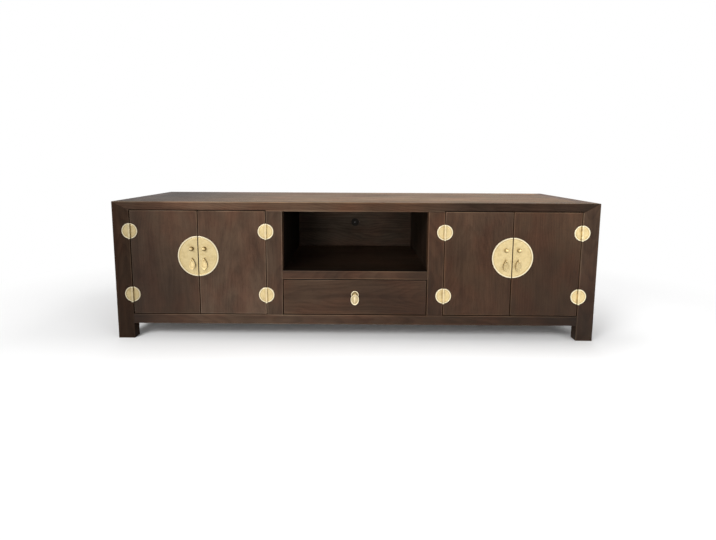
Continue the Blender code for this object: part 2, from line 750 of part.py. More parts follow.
def staple_tool(cabinet, x, z, from_y):
    """A bent wire loop that stands out of a plate in the YZ plane, bent about the pull's axis."""
    axis_y = from_y - STAPLE_STANDOFF
    root_y = from_y + PLATE_THICKNESS / 2
    path = [(x, root_y, z + STAPLE_RADIUS)]
    for step in range(STAPLE_STEPS + 1):
        angle = math.pi * step / STAPLE_STEPS
        path.append(
            (x, axis_y - STAPLE_RADIUS * math.sin(angle), z + STAPLE_RADIUS * math.cos(angle))
        )
    path.append((x, root_y, z - STAPLE_RADIUS))
    curve = bpy.data.curves.new("staple", "CURVE")
    curve.dimensions = "3D"
    curve.bevel_depth = STAPLE_WIRE_RADIUS
    curve.bevel_resolution = WIRE_STEPS
    curve.use_fill_caps = True
    spline = curve.splines.new("POLY")
    spline.points.add(len(path) - 1)
    for point, place in zip(spline.points, path):
        point.co = (*place, 1.0)
    return curve_tool(cabinet, curve, "staple")


def curve_tool(cabinet, curve, name):
    """A mesh object in place of a curve."""
    drawn = bpy.data.objects.new(name, curve)
    cabinet.cutters.objects.link(drawn)
    mesh = settled_mesh(drawn)
    bpy.data.objects.remove(drawn)
    return cabinet.tool(name, mesh)


def lock_plate_mesh(cabinet, side):
    """Half a lock plate with its stud and staple.

    The line between the doors is at x = 0 and the plate's middle at z = 0.
    """
    edge = DOOR_GAP / 2 + PLATE_EDGE_INSET
    plate = half_plate(cabinet, "lock_plate", PLATE_RADIUS, PLATE_THICKNESS, PLATE_SIDES, side, edge)
    reach = STUD_REACH - SEAT_GAP - PLATE_THICKNESS
    stud = stud_tool(cabinet, side * STUD_ACROSS, STUD_ABOVE, -PLATE_THICKNESS, reach)
    staple = staple_tool(cabinet, side * PULL_ACROSS, -PULL_BELOW, -PLATE_THICKNESS)
    return cabinet.fuse(plate, [stud, staple])


def drawer_plate_mesh(cabinet):
    """The drawer pull's round plate with its staple."""
    plate_mesh = cylinder_mesh(DRAWER_PLATE_RADIUS, PLATE_THICKNESS, SMALL_PLATE_SIDES, "y", "drawer_plate")
    plate = cabinet.tool("drawer_plate", plate_mesh, (0.0, -PLATE_THICKNESS / 2, 0.0))
    return cabinet.fuse(plate, [staple_tool(cabinet, 0.0, 0.0, -PLATE_THICKNESS)])


def pull_mesh(cabinet, length, width, head_width, belly_drop, tip_width):
    """A flat drop with a hole in its head, which rides on the staple's bend about the origin."""
    hole_z = -STAPLE_RADIUS
    tip_rise = (length - belly_drop) / 4
    right_side = (
        (head_width / 2, hole_z),
        (width / 2, -belly_drop),
        (tip_width / 2, tip_rise - length),
    )
    outline = [(0.0, PULL_HEAD_RISE), *right_side, (0.0, -length)]
    outline += [(-across, height) for across, height in reversed(right_side)]
    curve = bpy.data.curves.new("pull", "CURVE")
    curve.dimensions = "2D"
    curve.fill_mode = "BOTH"
    curve.extrude = PULL_THICKNESS / 2
    curve.resolution_u = PULL_CURVE_STEPS
    edge = curve.splines.new("BEZIER")
    edge.bezier_points.add(len(outline) - 1)
    edge.use_cyclic_u = True
    for point, (across, height) in zip(edge.bezier_points, outline):
        point.co = (across, height, 0.0)
        point.handle_left_type = point.handle_right_type = "AUTO"
    hole = curve.splines.new("POLY")
    hole.points.add(HOLE_SIDES - 1)
    hole.use_cyclic_u = True
    for index, point in enumerate(hole.points):
        angle = 2 * math.pi * index / HOLE_SIDES
        across = PULL_HOLE_RADIUS * math.cos(angle)
        point.co = (across, hole_z + PULL_HOLE_RADIUS * math.sin(angle), 0.0, 1.0)
    flat = curve_tool(cabinet, curve, "pull")
    flat.data.transform(Matrix.Rotation(math.pi / 2, 4, "X"))
    return cabinet.fuse(flat, [])


def build_doors(cabinet):
    """Four doors, each with its hinges, its half of a lock plate and its pull, carried on its hinge axis."""
    frame_leaf, door_leaf = hinge_meshes(cabinet)
    plates = {side: lock_plate_mesh(cabinet, side) for side in (LEFT, RIGHT)}
    pull = pull_mesh(
        cabinet,
        DOOR_PULL_LENGTH,
        DOOR_PULL_WIDTH,
        DOOR_PULL_HEAD_WIDTH,
        DOOR_PULL_BELLY_DROP,
        DOOR_PULL_TIP_WIDTH,
    )
    hinge_heights = {"upper": DOOR_TOP_Z - HINGE_FROM_TOP, "lower": DOOR_BOTTOM_Z + HINGE_FROM_BOTTOM}
    for side_name, side in SIDES.items():
        outer_door = sided(side, PAIR_X + DOOR_GAP / 2, POST_INNER_X - DOOR_GAP)
        inner_door = sided(side, STILE_OUTER_X + DOOR_GAP, PAIR_X - DOOR_GAP / 2)
        leaves = {
            "outer": (outer_door, side * (POST_INNER_X - DOOR_GAP / 2), side),
            "inner": (inner_door, side * (STILE_OUTER_X + DOOR_GAP / 2), -side),
        }
        for leaf_name, (limits, axis_x, to_frame) in leaves.items():
            name = f"{side_name}_{leaf_name}"
            door = Block(limits, inward(FRONT, 0.0, DOOR_THICKNESS), (DOOR_BOTTOM_Z, DOOR_TOP_Z))
            cabinet.board(f"{name}_door", door, STAINED_WOOD, FRONT_EDGES, FRONT_ROUND)
            members = [f"{name}_door", f"{name}_lock_plate", f"{name}_door_pull"]
            for level, height in hinge_heights.items():
                place = (axis_x, BARREL_Y, height)
                turned = to_frame == RIGHT
                cabinet.fitting(f"{name}_{level}_frame_leaf", frame_leaf, place, turned)
                cabinet.fitting(f"{name}_{level}_door_leaf", door_leaf, place, turned)
                members.append(f"{name}_{level}_door_leaf")
            pair_x = side * PAIR_X
            from_pair = to_frame
            cabinet.fitting(f"{name}_lock_plate", plates[from_pair], (pair_x, BRASS_SEAT_Y, PLATE_Z))
            pull_place = (pair_x + from_pair * PULL_ACROSS, PULL_AXIS_Y, PLATE_Z - PULL_BELOW)
            cabinet.fitting(f"{name}_door_pull", pull, pull_place)
            cabinet.carrier(f"{name}_door_axis", (axis_x, BARREL_Y, 0.0), members)


def build_drawer_pull(cabinet):
    """The drawer's round plate and drop, carried with the drawer."""
    plate = drawer_plate_mesh(cabinet)
    cabinet.fitting("drawer_pull_plate", plate, (0.0, BRASS_SEAT_Y, DRAWER_PULL_Z))
    drop = pull_mesh(
        cabinet,
        DRAWER_PULL_LENGTH,
        DRAWER_PULL_WIDTH,
        DRAWER_PULL_HEAD_WIDTH,
        DRAWER_PULL_BELLY_DROP,
        DRAWER_PULL_TIP_WIDTH,
    )
    cabinet.fitting("drawer_pull_drop", drop, (0.0, PULL_AXIS_Y, DRAWER_PULL_Z))
    boards = [f"drawer_{name}" for name in ("front", "left_side", "right_side", "back", "bottom")]
    members = [*boards, "drawer_pull_plate", "drawer_pull_drop"]
    cabinet.carrier("drawer_slide_axis", (0.0, FRONT_Y, DRAWER_FLOOR_Z), members)


def main():
    cabinet = Cabinet()
    build_mitred_frame(cabinet)
    build_lower_frame(cabinet)
    build_boards(cabinet)
    joint_carcass(cabinet)
    build_drawer(cabinet)
    build_doors(cabinet)
    build_drawer_pull(cabinet)


main()
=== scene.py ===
"""Looks of a long, low television cabinet: dark stained wood, pale brass fittings and a plain studio.

Each group of pieces has its own operator, and the sizes and colours that a user would change are
settings of the scene. Metres, +Z up, the doors face -Y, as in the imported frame.
"""

import json
import math
import random
from dataclasses import dataclass

import bmesh
import bpy
from bpy.props import FloatProperty, FloatVectorProperty, IntProperty, PointerProperty
from bpy.types import Operator, Panel, PropertyGroup
from mathutils import Matrix, Vector

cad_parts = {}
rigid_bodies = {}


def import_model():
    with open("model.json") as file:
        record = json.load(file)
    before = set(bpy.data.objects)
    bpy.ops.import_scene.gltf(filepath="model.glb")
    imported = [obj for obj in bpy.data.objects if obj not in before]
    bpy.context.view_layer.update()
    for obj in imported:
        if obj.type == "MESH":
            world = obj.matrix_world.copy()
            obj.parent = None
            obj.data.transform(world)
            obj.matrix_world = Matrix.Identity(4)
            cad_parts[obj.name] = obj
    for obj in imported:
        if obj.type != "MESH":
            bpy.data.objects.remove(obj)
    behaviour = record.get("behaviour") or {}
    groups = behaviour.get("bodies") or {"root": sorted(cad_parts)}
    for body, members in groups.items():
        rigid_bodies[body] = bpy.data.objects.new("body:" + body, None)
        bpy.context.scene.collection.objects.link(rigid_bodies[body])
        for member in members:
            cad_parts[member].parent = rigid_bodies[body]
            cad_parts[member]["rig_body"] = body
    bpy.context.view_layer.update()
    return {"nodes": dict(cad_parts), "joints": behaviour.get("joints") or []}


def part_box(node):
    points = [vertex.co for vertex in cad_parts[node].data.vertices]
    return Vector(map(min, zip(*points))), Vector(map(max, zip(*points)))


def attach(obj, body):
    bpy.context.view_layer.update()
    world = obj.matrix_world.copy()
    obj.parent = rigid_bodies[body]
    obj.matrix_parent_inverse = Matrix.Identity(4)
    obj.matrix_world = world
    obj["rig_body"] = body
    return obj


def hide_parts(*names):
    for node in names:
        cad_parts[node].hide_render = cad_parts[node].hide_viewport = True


bl_info = {
    "name": "Television cabinet looks",
    "version": (1, 0, 0),
    "blender": (4, 5, 0),
    "location": "View3D > Sidebar > Cabinet",
    "description": "Stained wood, brass fittings and a studio for a television cabinet",
    "category": "Object",
}

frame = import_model()

SIDES = ("left", "right")
DOORS = ("left_outer", "left_inner", "right_inner", "right_outer")
LEVELS = ("upper", "lower")
AXES = "xyz"
OUT, UP = Vector((0.0, -1.0, 0.0)), Vector((0.0, 0.0, 1.0))
WHITE = (1.0, 1.0, 1.0, 1.0)

# Photographed view: the camera's place, its turns in degrees, and the lens in pixels of the photograph
PHOTO_WIDTH, PHOTO_HEIGHT = 716, 540
CAMERA_PLACE = (-0.0021, -1.5682, 0.6693)
CAMERA_YAW, CAMERA_PITCH, CAMERA_ROLL = 0.316, 5.717, -0.264
FOCAL_PIXELS = 370.63
OPTICAL_CENTRE = (352.72, 199.76)
SENSOR_WIDTH = 36.0

# Grain of each kind of board: the axes along the grain, across the face and into the board
UPRIGHT, LYING, TABLE, SIDE_UPRIGHT, SIDE_TABLE, SIDE_LYING = "zxy", "xzy", "xyz", "zyx", "yxz", "yzx"
# Edges over this angle and length are eased, and faces narrower than this width belong to an eased edge
SHARP_ANGLE, SHORT_EDGE, EASED_WIDTH = math.radians(50.0), 0.006, 0.0025
# Faces that meet at less than this angle are one flat face
FLAT_ANGLE = math.radians(1.0)
# Points closer than this are one: on a turned piece, on a packed board, and after easing or cutting
TURNED_WELD, BOARD_WELD, SLIVER = 1e-6, 1e-5, 0.000005
# Factors between which the stain's hue drifts over a board
COOL_BLUSH, WARM_BLUSH = (0.965, 1.02, 1.02), (1.075, 0.96, 0.915)

# Fittings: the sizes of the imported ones, and of the finer forms that are added to them
LEFTWARD, RIGHTWARD = -1, 1
PLATE_THICKNESS = 0.0022
RIM_EASING, GROOVE_DEPTH, GROOVE_MARGIN = 0.0007, 0.0004, 0.0006
STUD_ACROSS, STUD_ABOVE = 0.0235, 0.028
STUD_HEAD, STUD_NECK, STUD_FLANGE, STUD_ROOT = 0.0065, 0.0046, 0.0081, 0.0004
STAPLE_RADIUS, STAPLE_WIRE, STAPLE_ROOT = 0.0045, 0.0014, 0.0004
ROSE_RIM, ROSE_HEIGHT, ROSE_FACE, ROSE_BOSS, ROSE_BOSS_RISE = 0.0036, 0.0026, 0.0010, 0.0065, 0.0010
# Drops: width of the head, height from the axis down to the belly, width of the tip
DOOR_DROP, DRAWER_DROP = (0.0115, 0.0250, 0.0105), (0.0225, 0.0155, 0.0200)
# A drop's hole, the boss round it and the slope of that boss, and the rib and veins of the drop's face
PULL_HOLE, EYE_RADIUS, EYE_SLOPE = 0.002, 0.0048, 0.0014
RIB_WIDTH, VEIN_SPACING, VEIN_START = 0.0011, 0.0046, 0.0016
HINGE_RADIUS, HINGE_RIM, LEAF_THICKNESS, LEAF_RIM_LIFT = 0.029, 0.0044, 0.002, 0.0005
BARREL_RADIUS, BARREL_HALF, BARREL_STANDOFF = 0.004, 0.0295, 0.0042
KNUCKLE_GAP, KNUCKLE_EASING, NOTCH_PLAY = 0.0004, 0.0004, 0.0005
PIN_RADIUS, PIN_PLAY, BUTTON_RADIUS, BUTTON_RISE, BUTTON_NECK = 0.0015, 0.00025, 0.0026, 0.0004, 0.0001
NAIL_DEGREES, NAIL_CIRCLE, NAIL_RISE, NAIL_FOOT, NAIL_SUNK = (-52, 0, 52), 0.0195, 0.0007, 0.0003, 0.0004
# Facets round the small turned pieces
ROSE_SIDES, STUD_SIDES, ROUND_SIDES, BORE_SIDES, NAIL_SIDES = 96, 48, 32, 24, 20
CABLE_HOLE_RADIUS, CABLE_HOLE_Z = 0.0188, 0.382
# Dark felt in the cable hole, which stands in for the shade seen through it: flaps of a layer,
# half a slit in degrees, blunt tip, thickness, step of the layers
FELT_FLAPS, FELT_SLIT, FELT_TIP, FELT_THICKNESS, FELT_STEP = 6, 1.2, 0.0004, 0.0015, 0.0018

# Brass of the four doors: how light the fittings are, and how dark the low parts of the studs and drops,
# as grime and painted shade. Both differ from door to door as painted light and shade, lit and shaded
# copies of one brass.
PLATE_TONES = dict(zip(DOORS, (0.84, 0.90, 0.97, 0.98)))
PULL_TONES = dict(zip(DOORS, (1.15, 1.15, 0.80, 0.80)))
HINGE_TONES = dict(zip(DOORS, (0.64, 0.98, 1.0, 1.08)))
STUD_SOOT_AND_SHADE = dict(zip(DOORS, (1.0, 1.0, 0.55, 0.65)))
PULL_SOOT_AND_SHADE = dict(zip(DOORS, (1.0, 1.0, 0.35, 0.35)))


def both_ways(operation):
    """An operator's method and its reflected form. Each adds a Math node."""
    def plain(self, other):
        return self.math(operation, self, other)

    def reflected(self, other):
        return self.math(operation, other, self)

    return plain, reflected


class Value:
    """A socket of a finish. Arithmetic on it adds Math nodes."""

    def __init__(self, finish, socket):
        self.finish = finish
        self.socket = socket

    def math(self, operation, *operands):
        return self.finish.node("ShaderNodeMath", {"operation": operation}, dict(enumerate(operands)))

    __add__, __radd__ = both_ways("ADD")
    __sub__, __rsub__ = both_ways("SUBTRACT")
    __mul__, __rmul__ = both_ways("MULTIPLY")
    __truediv__, __rtruediv__ = both_ways("DIVIDE")
    __pow__, __rpow__ = both_ways("POWER")

    def least(self, other):
        return self.math("MINIMUM", self, other)

    def most(self, other):
        return self.math("MAXIMUM", self, other)


class Finish:
    """The nodes of a material or of the world, which grow by expressions."""

    def __init__(self, owner):
        owner.use_nodes = True
        self.owner = owner
        self.tree = owner.node_tree
        self.tree.nodes.clear()

    def node(self, kind, settings, sockets, output=0):
        """Adds a node: its settings first, then the values or links of its sockets."""
        made = self.tree.nodes.new(kind)
        for name, value in settings.items():
            if name == "stops":
                self.set_stops(made.color_ramp, value)
            else:
                setattr(made, name, value)
        for key, value in sockets.items():
            if isinstance(value, Value):
                self.tree.links.new(value.socket, made.inputs[key])
            else:
                made.inputs[key].default_value = value
        return Value(self, made.outputs[output]) if made.outputs else None

    def set_stops(self, ramp, stops):
        ramp.interpolation = "EASE"
        ramp.elements.remove(ramp.elements[1])
        first = ramp.elements[0]
        first.position, first.color = stops[0][0], opaque(stops[0][1])
        for place, colour in stops[1:]:
            ramp.elements.new(place).color = opaque(colour)

    def ramp(self, share, stops):
        """A colour that changes as a share goes from 0 to 1."""
        return self.node("ShaderNodeValToRGB", {"stops": stops}, {"Fac": share})

    def place(self):
        """The three coordinates of a point in its own piece."""
        point = self.node("ShaderNodeTexCoord", {}, {}, "Object")
        return [self.node("ShaderNodeSeparateXYZ", {}, {"Vector": point}, axis) for axis in "XYZ"]

    def point(self, x, y, z):
        return self.node("ShaderNodeCombineXYZ", {}, {"X": x, "Y": y, "Z": z})

    def noise(self, point, scale=1.0, detail=2.0, roughness=0.5):
        """Cloudy noise from 0 to 1."""
        sockets = {"Vector": point, "Scale": scale, "Detail": detail, "Roughness": roughness}
        return self.node("ShaderNodeTexNoise", {}, sockets)

    def chance(self, number):
        """A random number from 0 to 1 for each whole number."""
        return self.node("ShaderNodeTexWhiteNoise", {"noise_dimensions": "1D"}, {"W": number})

    def ease(self, value, low, high, start=0.0, end=1.0):
        """A soft step from start, at low, to end, at high."""
        sockets = {"Value": value, "From Min": low, "From Max": high, "To Min": start, "To Max": end}
        return self.node("ShaderNodeMapRange", {"interpolation_type": "SMOOTHSTEP"}, sockets)

    def mix(self, share, first, second):
        """A colour between two others."""
        return self.blend("MIX", share, first, second)

    def multiply(self, first, second):
        """A colour times another."""
        return self.blend("MULTIPLY", 1.0, first, second)

    def blend(self, kind, share, first, second):
        sockets = {0: share, 6: opaque(first), 7: opaque(second)}
        return self.node("ShaderNodeMix", {"data_type": "RGBA", "blend_type": kind}, sockets, 2)

    def seen(self):
        """1 for what the camera sees, straight or by gloss or glass, and 0 for what only gives light."""
        rays = ("Is Camera Ray", "Is Glossy Ray", "Is Transmission Ray")
        camera, gloss, glass = (self.node("ShaderNodeLightPath", {}, {}, ray) for ray in rays)
        return camera.most(gloss).most(glass)

    def bump(self, height, depth):
        return self.node("ShaderNodeBump", {}, {"Height": height, "Distance": depth, "Strength": 1.0})

    def shade(self, sockets):
        """Ends the finish with its shader."""
        surface = self.node("ShaderNodeBsdfPrincipled", {}, sockets)
        self.node("ShaderNodeOutputMaterial", {}, {"Surface": surface})
        return self.owner


def opaque(colour):
    """A colour with its alpha, unless it is a link."""
    return colour if isinstance(colour, Value) else (*colour, 1.0)


def tinted(colour, tone):
    return tuple(min(1.0, channel * tone) for channel in colour)


def warmed(tone, warmth=0.0, olive=0.0):
    """A factor for stain and painted light: how light, and how much redder or greener than the plain stain.
    """
    green = (1 - 0.06 * warmth) * (1 + 0.10 * olive)
    blue = (1 - 0.16 * warmth) * (1 - 0.04 * olive)
    return (tone * (1 + 0.03 * warmth), tone * green, tone * blue)


def even(tone, warmth=0.0):
    """One tone over a whole board."""
    return ((0.0, tone, warmth),)


def fade(first, last, warmth=0.0):
    """Tones from one end of a board to the other."""
    return ((0.0, first, warmth), (1.0, last, warmth))


def colour_setting(name, description, default):
    return FloatVectorProperty(
        name=name, description=description, subtype="COLOR", size=3, min=0.0, max=1.0, default=default)


def length_setting(name, description, low, high, default):
    return FloatProperty(
        name=name, description=description, unit="LENGTH", min=low, max=high, default=default)


def share_setting(name, description, default):
    return FloatProperty(
        name=name, description=description, subtype="FACTOR", min=0.0, max=1.0, default=default)


def power_setting(name, description, default):
    return FloatProperty(
        name=name, description=description, unit="POWER", min=0.0, max=500.0, default=default)


class WoodSettings(PropertyGroup):
    """Stained boards."""

    stain_dark: colour_setting("Dark stain", "Colour of late wood and pores", (0.0255, 0.0132, 0.0080))
    stain_light: colour_setting("Light stain", "Colour of early wood", (0.0850, 0.0490, 0.0305))
    inner_dark: colour_setting(
        "Dark inside", "Colour of late wood on boards inside the cabinet", (0.028, 0.016, 0.010))
    inner_light: colour_setting(
        "Light inside", "Colour of early wood on boards inside the cabinet", (0.105, 0.064, 0.040))
    # Worn edge colour, also used as a painted highlight on the top front rail's arris
    worn_and_highlit_edge: colour_setting(
        "Worn edge", "Colour where hands have rubbed the stain off the edges", (0.190, 0.125, 0.082))
    wear_reach: length_setting(
        "Wear reach", "How far in from an edge the stain is rubbed", 0.0, 0.02, 0.0045)
    ring_spacing: length_setting(
        "Ring spacing", "Distance between the tree's yearly rings", 0.001, 0.05, 0.0085)
    arris: length_setting("Arris", "Width of the eased edges of the boards", 0.0, 0.003, 0.0007)
    satin: share_setting("Satin", "Roughness of the lacquer", 0.40)
    gloss: share_setting("Gloss", "Strength of the lacquer's reflection", 0.13)


class BrassSettings(PropertyGroup):
    """Pale brass fittings."""

    body: colour_setting("Brass", "Colour of the flat faces", (0.760, 0.610, 0.325))
    polished: colour_setting("Polished brass", "Colour of rims and rubbed spots", (0.950, 0.855, 0.630))
    tarnish: colour_setting("Tarnish", "Colour in grooves and dull spots", (0.480, 0.355, 0.160))
    # Grime colour: grime and painted shade on the low parts of the studs, staples and drops
    grime_and_shade: colour_setting(
        "Grime", "Colour of the low, untouched parts of the fittings", (0.115, 0.072, 0.022))
    warm: colour_setting("Warm brass", "Colour of the drawer's drop", (0.800, 0.665, 0.400))
    satin: share_setting("Satin", "Roughness of the flat faces", 0.48)
    rim_width: length_setting("Rim width", "Width of the raised rim of a lock plate", 0.001, 0.02, 0.0052)
    rim_lift: length_setting("Rim lift", "Height of a plate's rim over its face", 0.0, 0.003, 0.0009)
    nail_radius: length_setting(
        "Nail radius", "Radius of the nail heads in the hinge leaves", 0.0005, 0.004, 0.0019)
    turned_sides: IntProperty(
        name="Turned sides", description="Facets round a turned plate", min=16, max=256, default=128)


class StageSettings(PropertyGroup):
    """Floor, backdrop and light."""

    floor: colour_setting("Floor", "Colour of the floor and backdrop", (0.90, 0.90, 0.90))
    ambient: FloatProperty(
        name="Ambient", description="Strength of the light from all round", min=0.0, max=2.0, default=0.50)
    key: power_setting("Key lamp", "Power of the lamp at the upper left", 84.0)
    fill: power_setting("Fill lamp", "Power of the lamp at the right", 28.0)
    low: power_setting("Low lamp", "Power of the low, far lamp that shines into the niche", 43.0)
    top: power_setting("Top lamp", "Power of the lamp over the cabinet", 18.0)


def arc(centre, radius, start, end, steps):
    """Points of an arc in a profile, from one angle to another, in degrees."""
    x, z = centre
    angles = [math.radians(start + (end - start) * step / steps) for step in range(steps + 1)]
    return [(x + radius * math.cos(angle), z + radius * math.sin(angle)) for angle in angles]


def dome(radius, base, rise, steps):
    """Points of a low dome in a profile, from its crown to its foot."""
    angles = [math.pi / 2 * step / steps for step in range(steps + 1)]
    return [(radius * math.sin(angle), base + rise * math.cos(angle)) for angle in angles]


def face_out(bm):
    bmesh.ops.recalc_face_normals(bm, faces=bm.faces[:])


def of_kind(geometry, kind):
    return [item for item in geometry if isinstance(item, kind)]


def turned(profile, sides, axis=OUT):
    """A mesh turned about an axis. The profile's points are a radius and a height along the axis."""
    bm = bmesh.new()
    points = [bm.verts.new((radius, 0.0, height)) for radius, height in profile]
    lines = [bm.edges.new(pair) for pair in zip(points, points[1:])]
    bmesh.ops.spin(
        bm, geom=points + lines, axis=UP, cent=(0.0, 0.0, 0.0), angle=math.tau, steps=sides, use_merge=True)
    bmesh.ops.remove_doubles(bm, verts=bm.verts[:], dist=TURNED_WELD)
    face_out(bm)
    turn = UP.rotation_difference(axis).to_matrix()
    bmesh.ops.transform(bm, matrix=turn.to_4x4(), verts=bm.verts[:])
    return bm


def keep_beyond(bm, x, side):
    """Cuts a turned plate along an upright line and keeps the half on one side."""
    everything = bm.verts[:] + bm.edges[:] + bm.faces[:]
    cut = bmesh.ops.bisect_plane(
        bm, geom=everything, plane_co=(x, 0.0, 0.0), plane_no=(-side, 0.0, 0.0), clear_outer=True)
    bmesh.ops.edgeloop_fill(bm, edges=of_kind(cut["geom_cut"], bmesh.types.BMEdge))
    face_out(bm)
    return bm


def box_mesh(low, high):
    bm = bmesh.new()
    size = Vector(high) - Vector(low)
    middle = (Vector(high) + Vector(low)) / 2
    bmesh.ops.create_cube(bm, size=1.0, matrix=Matrix.Translation(middle) @ Matrix.Diagonal((*size, 1.0)))
    return bm


def bar_mesh(radius, low, high, easing, sides):
    """A round bar along Z with eased ends."""
    profile = [(0.0, high), *arc((radius - easing, high - easing), easing, 90, 0, 3)]
    profile += [*arc((radius - easing, low + easing), easing, 0, -90, 3), (0.0, low)]
    return turned(profile, sides, UP)


def drop_slivers(bm):
    """Takes out the slivers and doubled points that an eased corner or a cut leaves."""
    bmesh.ops.dissolve_degenerate(bm, dist=SLIVER, edges=bm.edges[:])
    bmesh.ops.remove_doubles(bm, verts=bm.verts[:], dist=SLIVER)


def mesh_of(bm, name):
    mesh = bpy.data.meshes.new(name)
    bm.to_mesh(mesh)
    bm.free()
    return mesh


def in_scene(name, data):
    """A new object in the scene."""
    made = bpy.data.objects.new(name, data)
    bpy.context.scene.collection.objects.link(made)
    return made


def evaluated_mesh(piece):
    """A plain mesh of an object as its curve or its modifiers make it."""
    graph = bpy.context.evaluated_depsgraph_get()
    return bpy.data.meshes.new_from_object(piece.evaluated_get(graph))


def fused(base, steps):
    """One closed mesh from a base and what is welded to it or cut out of it, step by step."""
    body = in_scene("fused", mesh_of(base, "fused"))
    tools = []
    for shapes, operation in steps:
        for shape in shapes:
            tool = in_scene("tool", mesh_of(shape, "tool"))
            boolean = body.modifiers.new(operation.lower(), "BOOLEAN")
            boolean.operation = operation
            boolean.solver = "EXACT"
            boolean.object = tool
            tools.append(tool)
    mesh = evaluated_mesh(body)
    for used in (body, *tools):
        bpy.data.objects.remove(used)
    bm = bmesh.new()
    bm.from_mesh(mesh)
    drop_slivers(bm)
    bm.to_mesh(mesh)
    bm.free()
    return mesh


def curve_mesh(curve):
    """A plain mesh of a curve."""
    drawn = in_scene(curve.name, curve)
    mesh = evaluated_mesh(drawn)
    bpy.data.objects.remove(drawn)
    return mesh


def wire_mesh(path, radius, name):
    """A bent round wire along a path."""
    curve = bpy.data.curves.new(name, "CURVE")
    curve.dimensions = "3D"
    curve.bevel_depth = radius
    curve.bevel_resolution = 5
    curve.use_fill_caps = True
    spline = curve.splines.new("POLY")
    spline.points.add(len(path) - 1)
    for point, place in zip(spline.points, path):
        point.co = (*place, 1.0)
    return curve_mesh(curve)


def put_piece(name, mesh, place, node, material, sharp=35.0, stands_in=True):
    """Puts a finished piece in its place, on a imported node's body. It replaces that node or adds to it.

    Edges over the sharp angle stay sharp and the rest is shaded round. At 0 the mesh keeps its shading.
    """
    piece = in_scene(name, mesh)
    piece.location = place
    if sharp:
        mesh.shade_smooth()
        mesh.set_sharp_from_angle(angle=math.radians(sharp))
    mesh.materials.clear()
    mesh.materials.append(material)
    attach(piece, frame["nodes"][node]["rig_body"])
    if stands_in:
        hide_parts(node)


def joint_place(name):
    """Where a joint's axis is, at rest."""
    return Vector(next(joint["pos_m"] for joint in frame["joints"] if joint["name"] == name))


def edge_distance(place, box):
    """How far a point of a board's skin lies from the board's nearest edge."""
    gaps = [(axis - low).least(high - axis) for axis, low, high in zip(place, *box)]
    nearer, farther = gaps[0].least(gaps[1]), gaps[0].most(gaps[1])
    return nearer.most(farther.least(gaps[2]))


@dataclass
class Look:
    """How one board differs from the others.

    Tones are stops: a share of the way, how light the board is there, how warm and how green. They hold
    painted light and shade as well as stain. They run along the grain, across it, and along the grain
    again on a top or front face that has its own.
    """

    tones: tuple
    across: tuple = ()
    top: tuple = ()
    front: tuple = ()
    stave: float = 0.0
    inside: bool = False
    rings: float = 0.12
    flame: float = 0.25
    streak: float = 0.5
    # How strongly the edges are worn at the start and end of a board; where strong, also a painted
    # highlight
    wear: float = 1.0
    wear_and_highlight_end: float | None = None
    gloss: float = 1.0


def inner_look(tones, across=(), front=(), stave=0.0):
    """The look of a board inside the cabinet, with little wear and half the gloss."""
    return Look(tones, across, front=front, stave=stave, inside=True, wear=0.3, gloss=0.5)


